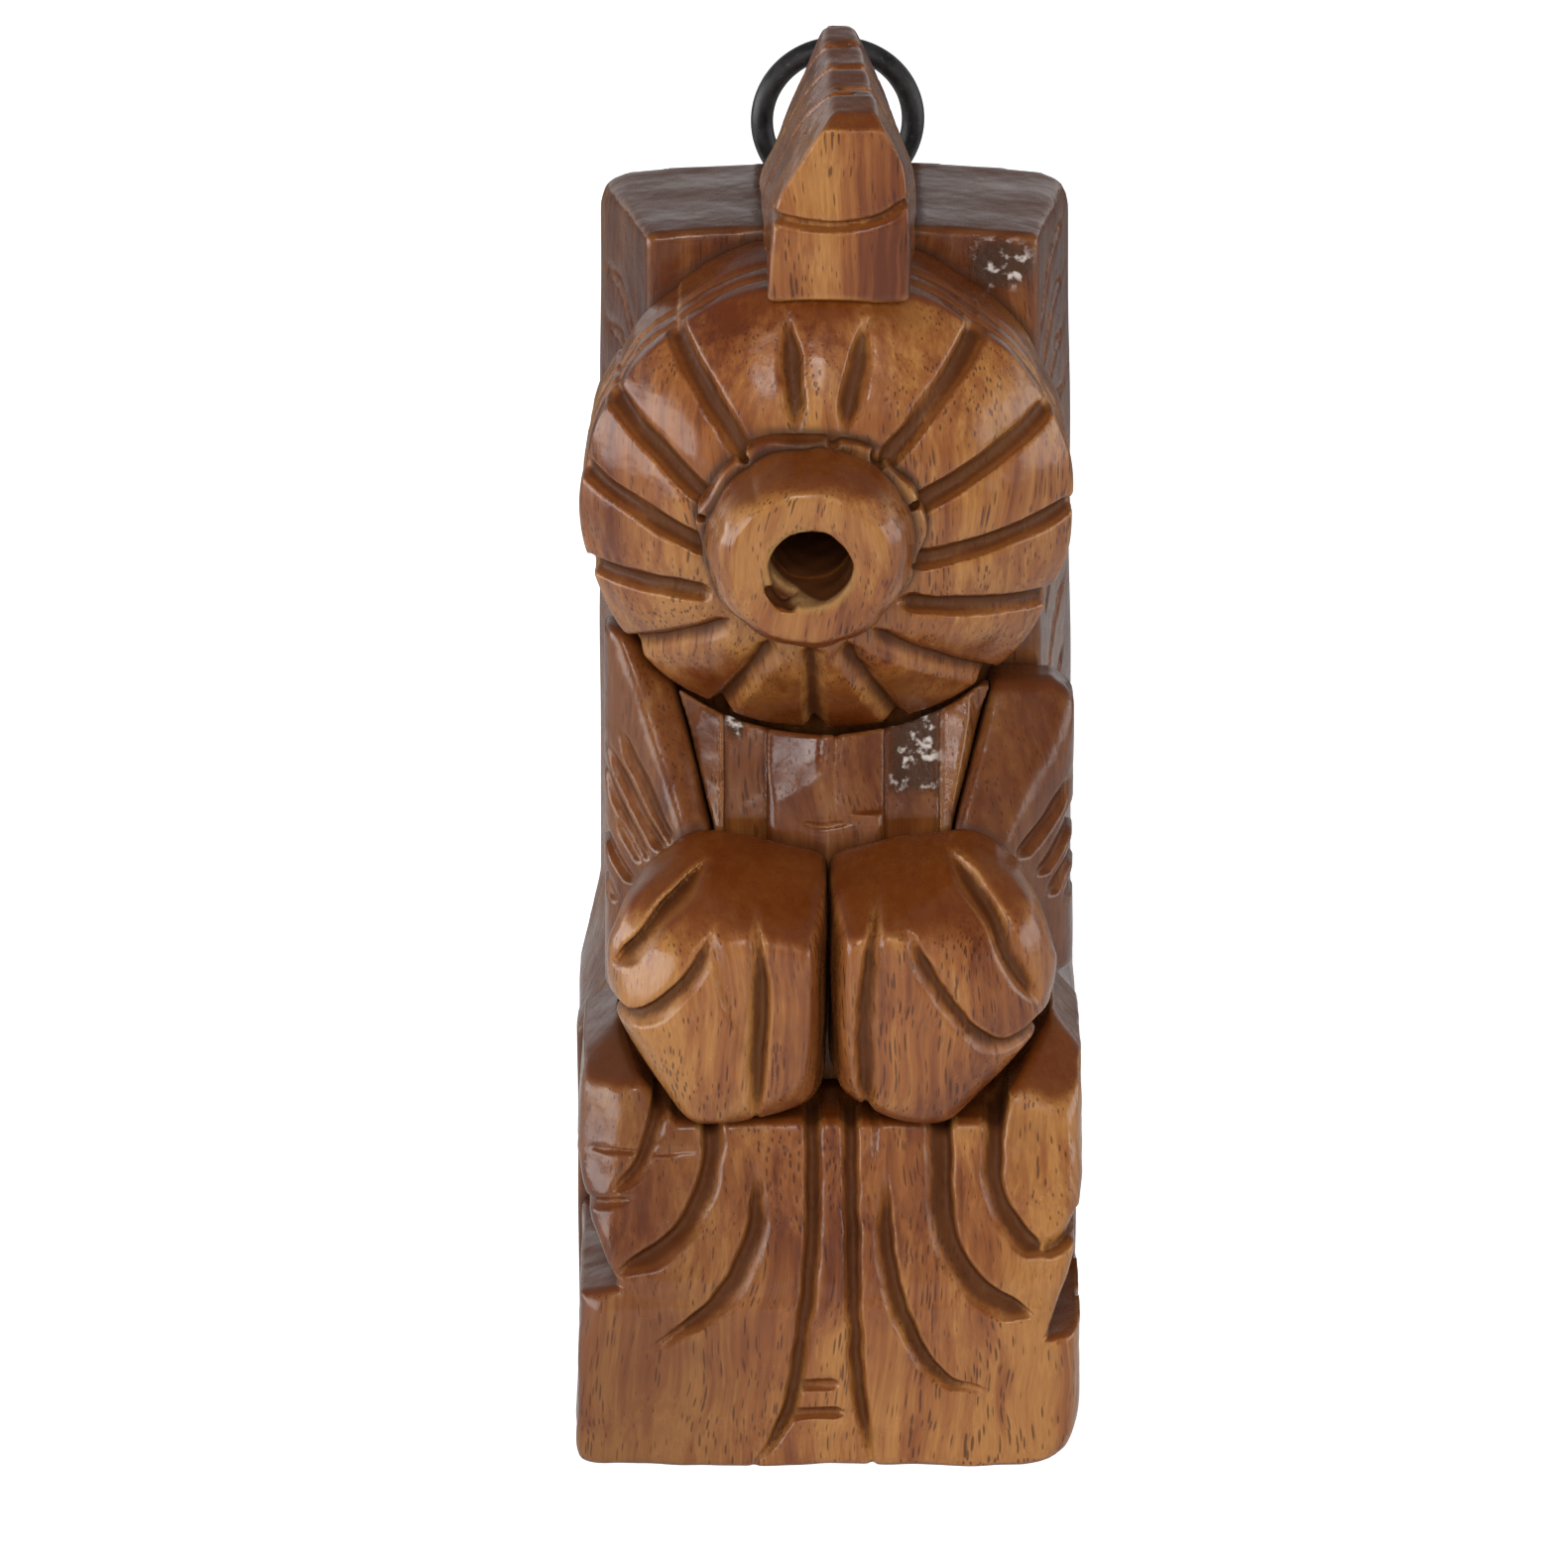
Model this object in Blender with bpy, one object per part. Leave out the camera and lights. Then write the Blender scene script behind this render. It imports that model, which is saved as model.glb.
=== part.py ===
"""A carved wooden tiki figure with a hanging ring, as separate closed solids.

The figure is glued up from carved sections on a rear post, pegged with
wooden dowels. A cord ring stands in a screw eye behind the crest.

World frame: +Z up, the figure faces -Y, +X is to the viewer's right.
The origin is the centre of the bottom face. Sizes are in millimetres and
become metres only in add_solid().
"""

import math

import bmesh
import bpy
from mathutils import Matrix, Vector
from mathutils.bvhtree import BVHTree

MM = 0.001

# Driving dimensions.
BLOCK_WIDTH = 61.0
BLOCK_DEPTH = 60.0
POST_THICKNESS = 27.0
POST_HEIGHT = 146.0
PLINTH_HEIGHT = 22.0
SKIRT_HEIGHT = 43.0
HEAD_RADIUS = 29.3
HEAD_TILT = math.radians(7.5)
HEAD_CENTRE = Vector((-0.2, -10.0, 115.5))
SPOUT_FOOT_RADIUS = 12.2
SPOUT_END_RADIUS = 10.2
BORE_RADIUS = 5.0
CREST_HEIGHT = 168.0
RING_CORD_RADIUS = 1.4
RING_RADIUS = 9.15
DOWEL_RADIUS = 3.0
ARM_DOWEL_RADIUS = 1.5

# Fits.
GAP = 0.3
DOWEL_CLEARANCE = 0.2

# Places that follow from them.
FRONT_Y = -BLOCK_DEPTH / 2
BACK_Y = BLOCK_DEPTH / 2
HALF_WIDTH = BLOCK_WIDTH / 2
POST_FRONT_Y = BACK_Y - POST_THICKNESS
GLUE_Y = POST_FRONT_Y - GAP
CHEST_Y = -12.6
HAND_BACK_Y = CHEST_Y - GAP
TORSO_LEFT_X = -17.0
TORSO_RIGHT_X = 19.0

# Head disc: heights are measured forward from its rim plane, along its axis.
RIM_FRONT_RADIUS = 28.6
RIM_BACK_RADIUS = 27.8
RIM_CHAMFER = 2.5
SEAT_RADIUS = 13.0
SEAT_HEIGHT = 9.2
SOCKET_RADIUS = 7.3
SOCKET_DEPTH = 12.0
PETAL_COUNT = 15
FIRST_GROOVE = math.radians(100.6)
GROOVE_WIDTH = 1.8
GROOVE_DEPTH = 1.2
SPOUT_SHIFT = Vector((-2.0, 1.6))
COLLAR_RADIUS = 13.0
COLLAR_THICKNESS = 1.7
SPOUT_LENGTH = 8.8
TENON_RADIUS = 7.0

# Hanging ring and its screw eye.
EYE_RADIUS = 2.6
EYE_WIRE_RADIUS = 0.7
EYE_SHANK_LENGTH = 10.0
RING_X = 1.2
RING_Y = BACK_Y + GAP + EYE_WIRE_RADIUS + EYE_RADIUS
RING_PIVOT_Z = 141.5

WOOD = (0.27, 0.10, 0.035)
DARK_WOOD = (0.17, 0.055, 0.02)
PALE_WOOD = (0.55, 0.38, 0.20)
RUBBER = (0.012, 0.011, 0.012)
STEEL = (0.62, 0.60, 0.56)


def clear_scene():
    for old in list(bpy.data.objects):
        bpy.data.objects.remove(old, do_unlink=True)


def make_material(name, colour, roughness, metallic=0.0):
    material = bpy.data.materials.new(name)
    material.use_nodes = True
    shader = material.node_tree.nodes["Principled BSDF"]
    shader.inputs["Base Color"].default_value = (*colour, 1.0)
    shader.inputs["Roughness"].default_value = roughness
    shader.inputs["Metallic"].default_value = metallic
    return material


# Mesh builders. Each returns a bmesh in millimetres.


def loft(loops):
    """A closed solid through equal-length loops of points, with flat caps."""
    bm = bmesh.new()
    rows = [[bm.verts.new(point) for point in loop] for loop in loops]
    for low, high in zip(rows, rows[1:]):
        for i in range(len(low)):
            j = (i + 1) % len(low)
            bm.faces.new((low[i], low[j], high[j], high[i]))
    bm.faces.new(rows[0][::-1])
    bm.faces.new(rows[-1])
    bmesh.ops.recalc_face_normals(bm, faces=bm.faces)
    return bm


def prism(outline, y_front, y_back):
    """A front view outline of (x, z) points, extruded from front to back."""
    front = [(x, y_front, z) for x, z in outline]
    back = [(x, y_back, z) for x, z in outline]
    return loft([front, back])


def hull(points):
    bm = bmesh.new()
    for point in points:
        bm.verts.new(point)
    made = bmesh.ops.convex_hull(bm, input=bm.verts)
    spare = {g for g in made["geom_interior"] + made["geom_unused"] if isinstance(g, bmesh.types.BMVert)}
    bmesh.ops.delete(bm, geom=list(spare), context="VERTS")
    bmesh.ops.recalc_face_normals(bm, faces=bm.faces)
    return bm


def lathe(profile, segments, frame):
    """A closed profile of (radius, height) turned about the frame's +Z."""
    bm = bmesh.new()
    turns = [2 * math.pi * i / segments for i in range(segments)]
    rings = []
    for radius, height in profile:
        ring = [(radius * math.cos(a), radius * math.sin(a), height) for a in turns]
        rings.append([bm.verts.new(frame @ Vector(point)) for point in ring])
    for low, high in zip(rings, rings[1:] + rings[:1]):
        for i in range(segments):
            j = (i + 1) % segments
            bm.faces.new((low[i], low[j], high[j], high[i]))
    bmesh.ops.recalc_face_normals(bm, faces=bm.faces)
    return bm


def cylinder(radius, start, end, segments=20, chamfer=0.0):
    """A round bar from start to end."""
    start = Vector(start)
    length = (Vector(end) - start).length
    turn = (Vector(end) - start).to_track_quat("Z", "Y").to_matrix().to_4x4()
    frame = Matrix.Translation(start) @ turn
    tip = radius - chamfer
    steps = [(tip, 0.0), (radius, chamfer), (radius, length - chamfer), (tip, length)]
    if chamfer == 0.0:
        steps = [(radius, 0.0), (radius, length)]
    turns = [2 * math.pi * i / segments for i in range(segments)]
    loops = []
    for r, height in steps:
        loops.append([frame @ Vector((r * math.cos(a), r * math.sin(a), height)) for a in turns])
    return loft(loops)


def torus(major, minor, centre, axis, major_segments, minor_segments):
    """A ring about the given axis."""
    turn = Vector(axis).to_track_quat("Z", "Y").to_matrix().to_4x4()
    frame = Matrix.Translation(centre) @ turn
    profile = []
    for i in range(minor_segments):
        angle = 2 * math.pi * i / minor_segments
        profile.append((major + minor * math.cos(angle), minor * math.sin(angle)))
    return lathe(profile, major_segments, frame)


def tapered_tube(points, radius, segments=6):
    """A gouge-shaped cutter along points, full in the middle, fine at its ends."""
    loops = []
    last = len(points) - 1
    for i, point in enumerate(points):
        ahead = points[min(i + 1, last)] - points[max(i - 1, 0)]
        side = ahead.cross(Vector((0, 1, 0))).normalized()
        inward = side.cross(ahead).normalized()
        local = radius * (0.35 + 0.65 * math.sin(math.pi * i / last))
        turns = [2 * math.pi * k / segments for k in range(segments)]
        loops.append([point + local * (side * math.cos(a) + inward * math.sin(a)) for a in turns])
    return loft(loops)


# Objects.


def add_solid(name, bm, material=None, origin=(0.0, 0.0, 0.0)):
    """Turns a bmesh in millimetres into an object in metres."""
    bmesh.ops.translate(bm, vec=-Vector(origin), verts=bm.verts)
    bmesh.ops.scale(bm, vec=(MM, MM, MM), verts=bm.verts)
    mesh = bpy.data.meshes.new(name)
    bm.to_mesh(mesh)
    bm.free()
    obj = bpy.data.objects.new(name, mesh)
    obj.location = Vector(origin) * MM
    bpy.context.scene.collection.objects.link(obj)
    if material:
        mesh.materials.append(material)
    return obj


def add_cutter(name, bm):
    cutter = add_solid(name, bm)
    cutter.hide_render = True
    cutter.display_type = "WIRE"
    return cutter


def combine(obj, other, operation="DIFFERENCE"):
    step = obj.modifiers.new(other.name, "BOOLEAN")
    step.operation = operation
    step.object = other
    step.solver = "EXACT"


def soften(obj, width, segments=2, angle=40.0):
    """Rounds the edges sharper than the angle."""
    step = obj.modifiers.new("worn_edges", "BEVEL")
    step.width = width * MM
    step.segments = segments
    step.limit_method = "ANGLE"
    step.angle_limit = math.radians(angle)


def shade_round(obj, angle=35.0):
    obj.data.shade_smooth()
    obj.data.set_sharp_from_angle(angle=math.radians(angle))


def resample(points, count):
    """Points at even steps along a smooth curve through the given ones."""
    spans = len(points) - 1
    found = []
    for i in range(count):
        t = spans * i / (count - 1)
        k = min(int(t), spans - 1)
        local = t - k
        p0 = points[max(k - 1, 0)]
        p1 = points[k]
        p2 = points[k + 1]
        p3 = points[min(k + 2, spans)]
        pull_in = 2 * p1 + local * (p2 - p0)
        bend = local**2 * (2 * p0 - 5 * p1 + 4 * p2 - p3)
        twist = local**3 * (3 * p1 - p0 - 3 * p2 + p3)
        found.append((pull_in + bend + twist) / 2)
    return found


def carve_front(obj, grooves, radius, steps=9):
    """Cuts gouge lines into a front face. Each line is a list of (x, z) points."""
    tree = BVHTree.FromPolygons(
        [vertex.co / MM for vertex in obj.data.vertices],
        [tuple(face.vertices) for face in obj.data.polygons],
    )
    for number, groove in enumerate(grooves):
        line = resample([Vector(point) for point in groove], steps)
        dropped = []
        for x, z in line:
            hit = tree.ray_cast(Vector((x, 2 * FRONT_Y, z)), Vector((0, 1, 0)))[0]
            if hit:
                dropped.append(hit)
        cutter = add_cutter(f"{obj.name}_gouge_{number}", tapered_tube(dropped, radius))
        combine(obj, cutter)


# Carved sections.


def make_back_post():
    """A full-height post: square at the base, tapering to a narrower front above it."""

    def section(z, back_left, back_right, front_left, front_right):
        return [
            (front_left, POST_FRONT_Y, z),
            (front_right, POST_FRONT_Y, z),
            (back_right, BACK_Y, z),
            (back_left, BACK_Y, z),
        ]

    base_top = 46.0
    shoulder = 54.0
    corner = 3.5
    sections = [
        section(0.0, -HALF_WIDTH, HALF_WIDTH, -HALF_WIDTH, HALF_WIDTH),
        section(base_top, -HALF_WIDTH, HALF_WIDTH, -HALF_WIDTH, HALF_WIDTH),
        section(shoulder, -28.2, HALF_WIDTH, -22.5, 26.0),
        section(POST_HEIGHT - corner, -27.8, 29.8, -21.7, 25.2),
        section(POST_HEIGHT, -25.3, 27.3, -19.8, 23.3),
    ]
    post = add_solid("back_post", loft(sections), make_material("post_wood", WOOD, 0.32))
    soften(post, 1.2)
    return post


def make_skirt_block():
    """The draped lap: a plinth, two knees that overhang it and a sash down the middle."""
    outline = [
        (-HALF_WIDTH, 0.0),
        (HALF_WIDTH, 0.0),
        (HALF_WIDTH, 17.5),
        (26.0, 16.5),
        (30.5, 34.5),
        (HALF_WIDTH, 49.5),
        (27.0, 53.0),
        (19.6, SKIRT_HEIGHT),
        (-18.0, SKIRT_HEIGHT),
        (-26.0, 51.5),
        (-30.2, 48.0),
        (-30.0, 37.0),
        (-25.5, 23.5),
        (-HALF_WIDTH, PLINTH_HEIGHT),
    ]
    set_back = 6.0
    bm = prism(outline, FRONT_Y, GLUE_Y)
    for vertex in bm.verts:
        if vertex.co.y < 0 and vertex.co.z > PLINTH_HEIGHT:
            rise = (vertex.co.z - PLINTH_HEIGHT) / (SKIRT_HEIGHT - PLINTH_HEIGHT)
            vertex.co.y += set_back * min(rise, 1.0)
    skirt = add_solid("skirt_block", bm, make_material("skirt_wood", WOOD, 0.3))
    sash_left = [(-2.5, 41.5), (-2.6, 28.0), (-3.8, 14.0), (-8.6, 1.5)]
    sash_right = [(2.4, 41.5), (2.7, 28.0), (3.2, 14.0), (4.9, 1.5)]
    folds = [
        sash_left,
        sash_right,
        [(-4.6, 10.1), (1.3, 10.1)],
        [(-5.2, 7.2), (1.9, 7.2)],
        [(-9.0, 36.0), (-9.9, 27.0), (-14.0, 20.0), (-22.3, 14.3)],
        [(-15.0, 41.0), (-15.4, 34.0), (-19.2, 28.0), (-25.0, 24.5)],
        [(7.0, 36.0), (7.4, 26.0), (10.1, 17.5), (19.7, 9.2)],
        [(14.0, 41.0), (14.2, 30.5), (18.2, 23.0), (24.4, 19.5)],
        [(20.8, 42.5), (20.3, 35.0), (22.5, 29.8), (28.5, 29.0)],
    ]
    carve_front(skirt, folds, 1.1)
    return skirt


def make_torso():
    """The chest: a raised middle panel that leans back above the hands, hollowed under the head."""
    recess = 3.6
    lean = 7.0
    bend = 76.0
    outline = [
        (TORSO_LEFT_X, GLUE_Y),
        (TORSO_LEFT_X, CHEST_Y + recess + 1.0),
        (-8.2, CHEST_Y + recess),
        (-7.4, CHEST_Y),
        (6.4, CHEST_Y),
        (7.2, CHEST_Y + recess),
        (TORSO_RIGHT_X, CHEST_Y + recess + 1.0),
        (TORSO_RIGHT_X, GLUE_Y),
    ]
    top = 90.5
    bottom = SKIRT_HEIGHT + GAP
    loops = [[(x, y, z) for x, y in outline] for z in (bottom, bend)]
    loops.append([(x, min(y + lean, GLUE_Y), top) for x, y in outline])
    torso = add_solid("torso", loft(loops), make_material("torso_wood", DARK_WOOD, 0.25))
    bore = [(0.01, -20.0), (HEAD_RADIUS + GAP + 0.1, -20.0), (HEAD_RADIUS + GAP + 0.1, 20.0), (0.01, 20.0)]
    combine(torso, add_cutter("head_over_torso", lathe(bore, 60, head_frame())))
    soften(torso, 0.4, segments=1)
    return torso


def make_arm(name, inner_x, outer_x, bottom, shoulder, grooves):
    """An upper arm: its front leans back towards the outer side."""
    neck = 91.0
    outline = [(outer_x, bottom), (inner_x, bottom), (inner_x, neck), (outer_x, shoulder)]
    lean = 7.5
    bm = prism(outline, CHEST_Y, GLUE_Y)
    for vertex in bm.verts:
        if vertex.co.y < 0 and abs(vertex.co.x - outer_x) < GAP:
            vertex.co.y += lean
    bmesh.ops.triangulate(bm, faces=bm.faces)
    arm = add_solid(name, bm, make_material(name + "_wood", WOOD, 0.34))
    carve_front(arm, grooves, 0.8)
    return arm


def make_hand(name, sections, grooves):
    """A rounded, knife-faceted hand. Sections give the x, z points of its outline at each y."""
    points = [(x, y, z) for y, outline in sections.items() for x, z in outline]
    hand = add_solid(name, hull(points), make_material(name + "_wood", WOOD, 0.24))
    carve_front(hand, grooves, 1.0)
    return hand


def make_hands():
    seam = GAP / 2 + 0.15
    left = make_hand(
        "left_hand",
        {
            HAND_BACK_Y: [(-24, 58), (-17, 47), (-seam, 48), (-seam, 73.5), (-9, 76), (-16, 76.6), (-22, 73)],
            -21.0: [(-27.4, 64), (-26, 55), (-seam, 45), (-seam, 72.5), (-13, 74.6), (-20, 74), (-25.4, 70)],
            -27.5: [(-24.5, 58), (-17, 43.4), (-8.9, 43.4), (-1.8, 47), (-seam, 66), (-13, 71), (-21, 68)],
            FRONT_Y: [(-16, 66), (-20, 58), (-14.5, 48), (-5, 48), (-1.5, 54), (-1.5, 67), (-10, 69.2)],
        },
        [
            [(-14.9, 75.5), (-19.0, 70.5), (-24.0, 64.0)],
            [(-13.8, 67.5), (-17.5, 61.5), (-22.5, 58.0), (-25.0, 59.0)],
            [(-9.2, 68.5), (-8.4, 58.5), (-8.7, 49.5)],
        ],
    )
    right = make_hand(
        "right_hand",
        {
            HAND_BACK_Y: [(25.5, 58), (18, 48), (seam, 48), (seam, 73.5), (8, 76), (18, 76.8), (23, 74)],
            -21.0: [(28.4, 64), (26.8, 55), (seam, 47), (seam, 72.5), (9, 74.2), (20, 74.5), (26.4, 70)],
            -27.5: [(24.5, 56), (14.9, 43.4), (7.7, 43.4), (1.8, 47), (seam, 66), (13, 71), (22, 68)],
            FRONT_Y: [(1.5, 54), (1.5, 67), (10, 69.2), (17, 66), (20, 57), (14, 48), (5, 48)],
        },
        [
            [(5.8, 69.5), (5.2, 60.0), (5.4, 49.5)],
            [(9.6, 67.5), (13.5, 60.0), (20.0, 55.5), (25.6, 58.5)],
            [(14.2, 76.5), (19.0, 69.5), (24.4, 60.5)],
        ],
    )
    return left, right


# The head disc, its collar and spout share one tilted axis.


def head_frame(shift=(0.0, 0.0)):
    """Local +Z runs forward along the head's axis, +X to the right, +Y up."""
    right = Vector((1, 0, 0))
    forward = Vector((0, -math.cos(HEAD_TILT), -math.sin(HEAD_TILT)))
    up = forward.cross(right)
    frame = Matrix((right, up, forward)).transposed().to_4x4()
    frame.translation = HEAD_CENTRE + shift[0] * right + shift[1] * up
    return frame


def dome_height(radius):
    """Height of the fluted front over the rim plane, highest at the collar's seat."""
    share = (radius - SEAT_RADIUS) / (RIM_FRONT_RADIUS - SEAT_RADIUS)
    return SEAT_HEIGHT * (1 - max(share, 0.0) ** 1.5)


def head_columns(radius, cut):
    """Angles and groove depths round one ring of the head, five to a petal."""
    half = GROOVE_WIDTH / (2 * radius)
    pitch = 2 * math.pi / PETAL_COUNT
    for petal in range(PETAL_COUNT):
        middle = FIRST_GROOVE + petal * pitch
        yield middle - half, 0.0
        yield middle - half * 0.6, cut
        yield middle + half * 0.6, cut
        yield middle + half, 0.0
        yield middle + pitch / 2, 0.0


def add_head_clearance(name):
    """A cutter with the head disc's shape, a thin gap larger all round."""
    grow = GAP + 0.1
    profile = [(0.01, -20.0), (RIM_BACK_RADIUS + grow, -20.0), (HEAD_RADIUS + grow, -RIM_CHAMFER)]
    profile.append((RIM_FRONT_RADIUS + grow, grow))
    for radius in (26.0, 22.0, 17.5):
        profile.append((radius + grow, dome_height(radius) + grow))
    profile.append((0.01, SEAT_HEIGHT + grow))
    return add_cutter(name, lathe(profile, 60, head_frame()))


def make_head_drum():
    """A short drum whose front is a shallow dome with radial grooves."""
    rows = [(RIM_BACK_RADIUS, None, 0.0), (HEAD_RADIUS, -RIM_CHAMFER, 0.0)]
    rows.append((RIM_FRONT_RADIUS, 0.0, GROOVE_DEPTH * 0.6))
    for radius in (26.0, 22.0, 17.5):
        rows.append((radius, dome_height(radius), GROOVE_DEPTH))
    rows.append((SEAT_RADIUS, SEAT_HEIGHT, 0.0))
    rows.append((SOCKET_RADIUS, SEAT_HEIGHT, 0.0))
    rows.append((SOCKET_RADIUS, SEAT_HEIGHT - SOCKET_DEPTH, 0.0))
    frame = head_frame()
    loops = []
    for radius, height, cut in rows:
        share = min(1.0, max(0.0, (RIM_FRONT_RADIUS - radius) / (RIM_FRONT_RADIUS - SEAT_RADIUS)))
        if height is None:
            share = 0.0
        centre = SPOUT_SHIFT * share
        loop = []
        for angle, depth in head_columns(radius, cut):
            x = centre.x + radius * math.cos(angle)
            y = centre.y + radius * math.sin(angle)
            if height is None:
                rim = frame @ Vector((x, y, 0))
                back = (GLUE_Y - rim.y) / math.cos(HEAD_TILT)
                loop.append(rim + Vector((0, math.cos(HEAD_TILT), math.sin(HEAD_TILT))) * back)
            else:
                loop.append(frame @ Vector((x, y, height - depth)))
        loops.append(loop)
    head = add_solid("head_drum", loft(loops), make_material("head_wood", WOOD, 0.26))
    return head


def make_spout_parts():
    """A collar ring and a bored stub tube, whose tenon passes through the collar."""
    frame = head_frame(SPOUT_SHIFT)
    low = SEAT_HEIGHT + GAP
    high = low + COLLAR_THICKNESS
    chamfer = 0.5
    ring = [
        (SOCKET_RADIUS, low),
        (COLLAR_RADIUS, low),
        (COLLAR_RADIUS, high - chamfer),
        (COLLAR_RADIUS - chamfer, high),
        (SOCKET_RADIUS, high),
    ]
    collar = add_solid("spout_collar", lathe(ring, 36, frame), make_material("collar_wood", WOOD, 0.3))
    shoulder = high + GAP
    end = shoulder + SPOUT_LENGTH
    tenon_end = SEAT_HEIGHT - SOCKET_DEPTH + GAP
    edge = 1.2
    tube = [
        (BORE_RADIUS, tenon_end),
        (TENON_RADIUS, tenon_end),
        (TENON_RADIUS, shoulder),
        (SPOUT_FOOT_RADIUS, shoulder),
        (SPOUT_FOOT_RADIUS - 0.2, shoulder + SPOUT_LENGTH * 0.35),
        (SPOUT_END_RADIUS + 0.5, end - edge),
        (SPOUT_END_RADIUS, end - edge / 3),
        (SPOUT_END_RADIUS - 1.0, end),
        (BORE_RADIUS, end),
    ]
    spout = add_solid("spout", lathe(tube, 40, frame), make_material("spout_wood", WOOD, 0.26))
    shade_round(spout)
    return collar, spout


def make_crest():
    """A wedge that rises over the head and runs back along the top of the post."""
    ridge_y = 16.0
    front_y = -15.5
    foot = 143.1
    front = [
        (-7.2, foot),
        (9.4, foot),
        (9.5, 155.5),
        (8.9, 160.0),
        (5.8, 165.8),
        (0.6, 165.8),
        (-2.8, 161.0),
        (-6.3, 155.5),
    ]
    middle = [(-8.8, 141), (10.8, 141), (-8.2, 149), (10.4, 150), (-0.6, CREST_HEIGHT), (3.2, CREST_HEIGHT)]
    rear = [(-7.4, 141), (9.6, 141), (-6.0, 149), (8.2, 149), (0.0, 158), (2.6, 158)]
    points = [(x, front_y, z) for x, z in front]
    points += [(x, ridge_y, z) for x, z in middle]
    points += [(x, BACK_Y - 3.0, z) for x, z in rear]
    crest = add_solid("crest", hull(points), make_material("crest_wood", WOOD, 0.3))

    combine(crest, add_head_clearance("head_under_crest"))
    top = POST_HEIGHT + GAP
    outline = [(-HALF_WIDTH, top - 20), (HALF_WIDTH, top - 20), (HALF_WIDTH, top), (-HALF_WIDTH, top)]
    combine(crest, add_cutter("post_clearance", prism(outline, POST_FRONT_Y - 2 * GAP, BACK_Y + 5)))
    soften(crest, 0.6, segments=1, angle=30)
    return crest


# Hardware.


def make_hanging_ring():
    """A rubber cord ring, with its origin on the hinge line at its foot."""
    centre = (RING_X, RING_Y, RING_PIVOT_Z + RING_RADIUS)
    bm = torus(RING_RADIUS, RING_CORD_RADIUS, centre, (0, 1, 0), 40, 12)
    foot = (RING_X, RING_Y, RING_PIVOT_Z)
    ring = add_solid("hanging_ring", bm, make_material("black_rubber", RUBBER, 0.4), foot)
    shade_round(ring, 60)
    return ring


def make_screw_eye(post):
    """A wire eye whose plane is across the cord, on a shank in the post's back."""
    centre = Vector((RING_X, RING_Y, RING_PIVOT_Z))
    eye = add_solid(
        "screw_eye",
        torus(EYE_RADIUS, EYE_WIRE_RADIUS, centre, (1, 0, 0), 28, 10),
        make_material("eye_steel", STEEL, 0.3, 1.0),
    )
    root = centre.y - EYE_RADIUS
    tip = root - EYE_SHANK_LENGTH
    shank_radius = EYE_WIRE_RADIUS + 0.1
    shank = cylinder(shank_radius, (centre.x, root, centre.z), (centre.x, tip, centre.z), 12, 0.3)
    combine(eye, add_cutter("eye_shank", shank), "UNION")
    shade_round(eye)
    pilot = cylinder(
        shank_radius + DOWEL_CLEARANCE,
        (centre.x, BACK_Y + 2, centre.z),
        (centre.x, tip - GAP, centre.z),
        12,
    )
    combine(post, add_cutter("eye_pilot_hole", pilot))
    return eye


def peg(name, start, end, pieces, radius=DOWEL_RADIUS):
    """A wooden dowel, and its hole in each of the pieces that it joins."""
    start = Vector(start)
    end = Vector(end)
    way = (end - start).normalized()
    beech = make_material(name + "_beech", PALE_WOOD, 0.6)
    add_solid(name, cylinder(radius, start, end, 16, radius / 6), beech)
    hole = cylinder(radius + DOWEL_CLEARANCE, start - way * GAP, end + way * GAP, 16)
    cutter = add_cutter(name + "_hole", hole)
    for piece in pieces:
        combine(piece, cutter)


def main():
    clear_scene()
    post = make_back_post()
    skirt = make_skirt_block()
    torso = make_torso()
    left_grooves = [[(-18.6, 74), (-24.3, 84.7)], [(-19.8, 72.5), (-26, 82.4)], [(-21.5, 71), (-26.4, 79)]]
    right_grooves = [[(23.1, 72.2), (28.7, 79)], [(25.4, 68.3), (29.2, 75.6)], [(26.5, 65.3), (29.2, 70.5)]]
    left_arm = make_arm("left_arm", TORSO_LEFT_X - GAP, -27.3, 52.0, 97.0, left_grooves)
    right_arm = make_arm("right_arm", TORSO_RIGHT_X + GAP, 30.0, 54.0, 91.5, right_grooves)
    left_hand, right_hand = make_hands()
    head = make_head_drum()
    make_spout_parts()
    crest = make_crest()
    make_hanging_ring()
    make_screw_eye(post)

    into_post = POST_FRONT_Y + 9.0
    head_peg_z = HEAD_CENTRE.z + 10.5
    arm_peg_z = 72.0
    skirt_peg_x = 16.0
    skirt_peg_z = 12.0
    hand_peg_z = 62.0
    for name, x in (("left_skirt_dowel", -skirt_peg_x), ("right_skirt_dowel", skirt_peg_x)):
        peg(name, (x, -8, skirt_peg_z), (x, into_post, skirt_peg_z), (skirt, post))
    peg("torso_dowel", (0, -7, hand_peg_z), (0, into_post, hand_peg_z), (torso, post))
    peg("head_dowel", (0, -6, head_peg_z), (0, into_post, head_peg_z), (head, post))
    peg("crest_dowel", (1.2, 13, POST_HEIGHT - 10), (1.2, 13, POST_HEIGHT + 9), (post, crest))
    for name, arm, x in (("left_arm_dowel", left_arm, -19.6), ("right_arm_dowel", right_arm, 22.0)):
        peg(name, (x, -5, arm_peg_z), (x, into_post, arm_peg_z), (arm, post), ARM_DOWEL_RADIUS)
    for name, hand, x in (("left_hand_dowel", left_hand, -11.5), ("right_hand_dowel", right_hand, 12.5)):
        peg(name, (x, -22, hand_peg_z), (x, -4, hand_peg_z), (hand, torso))


main()
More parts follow.
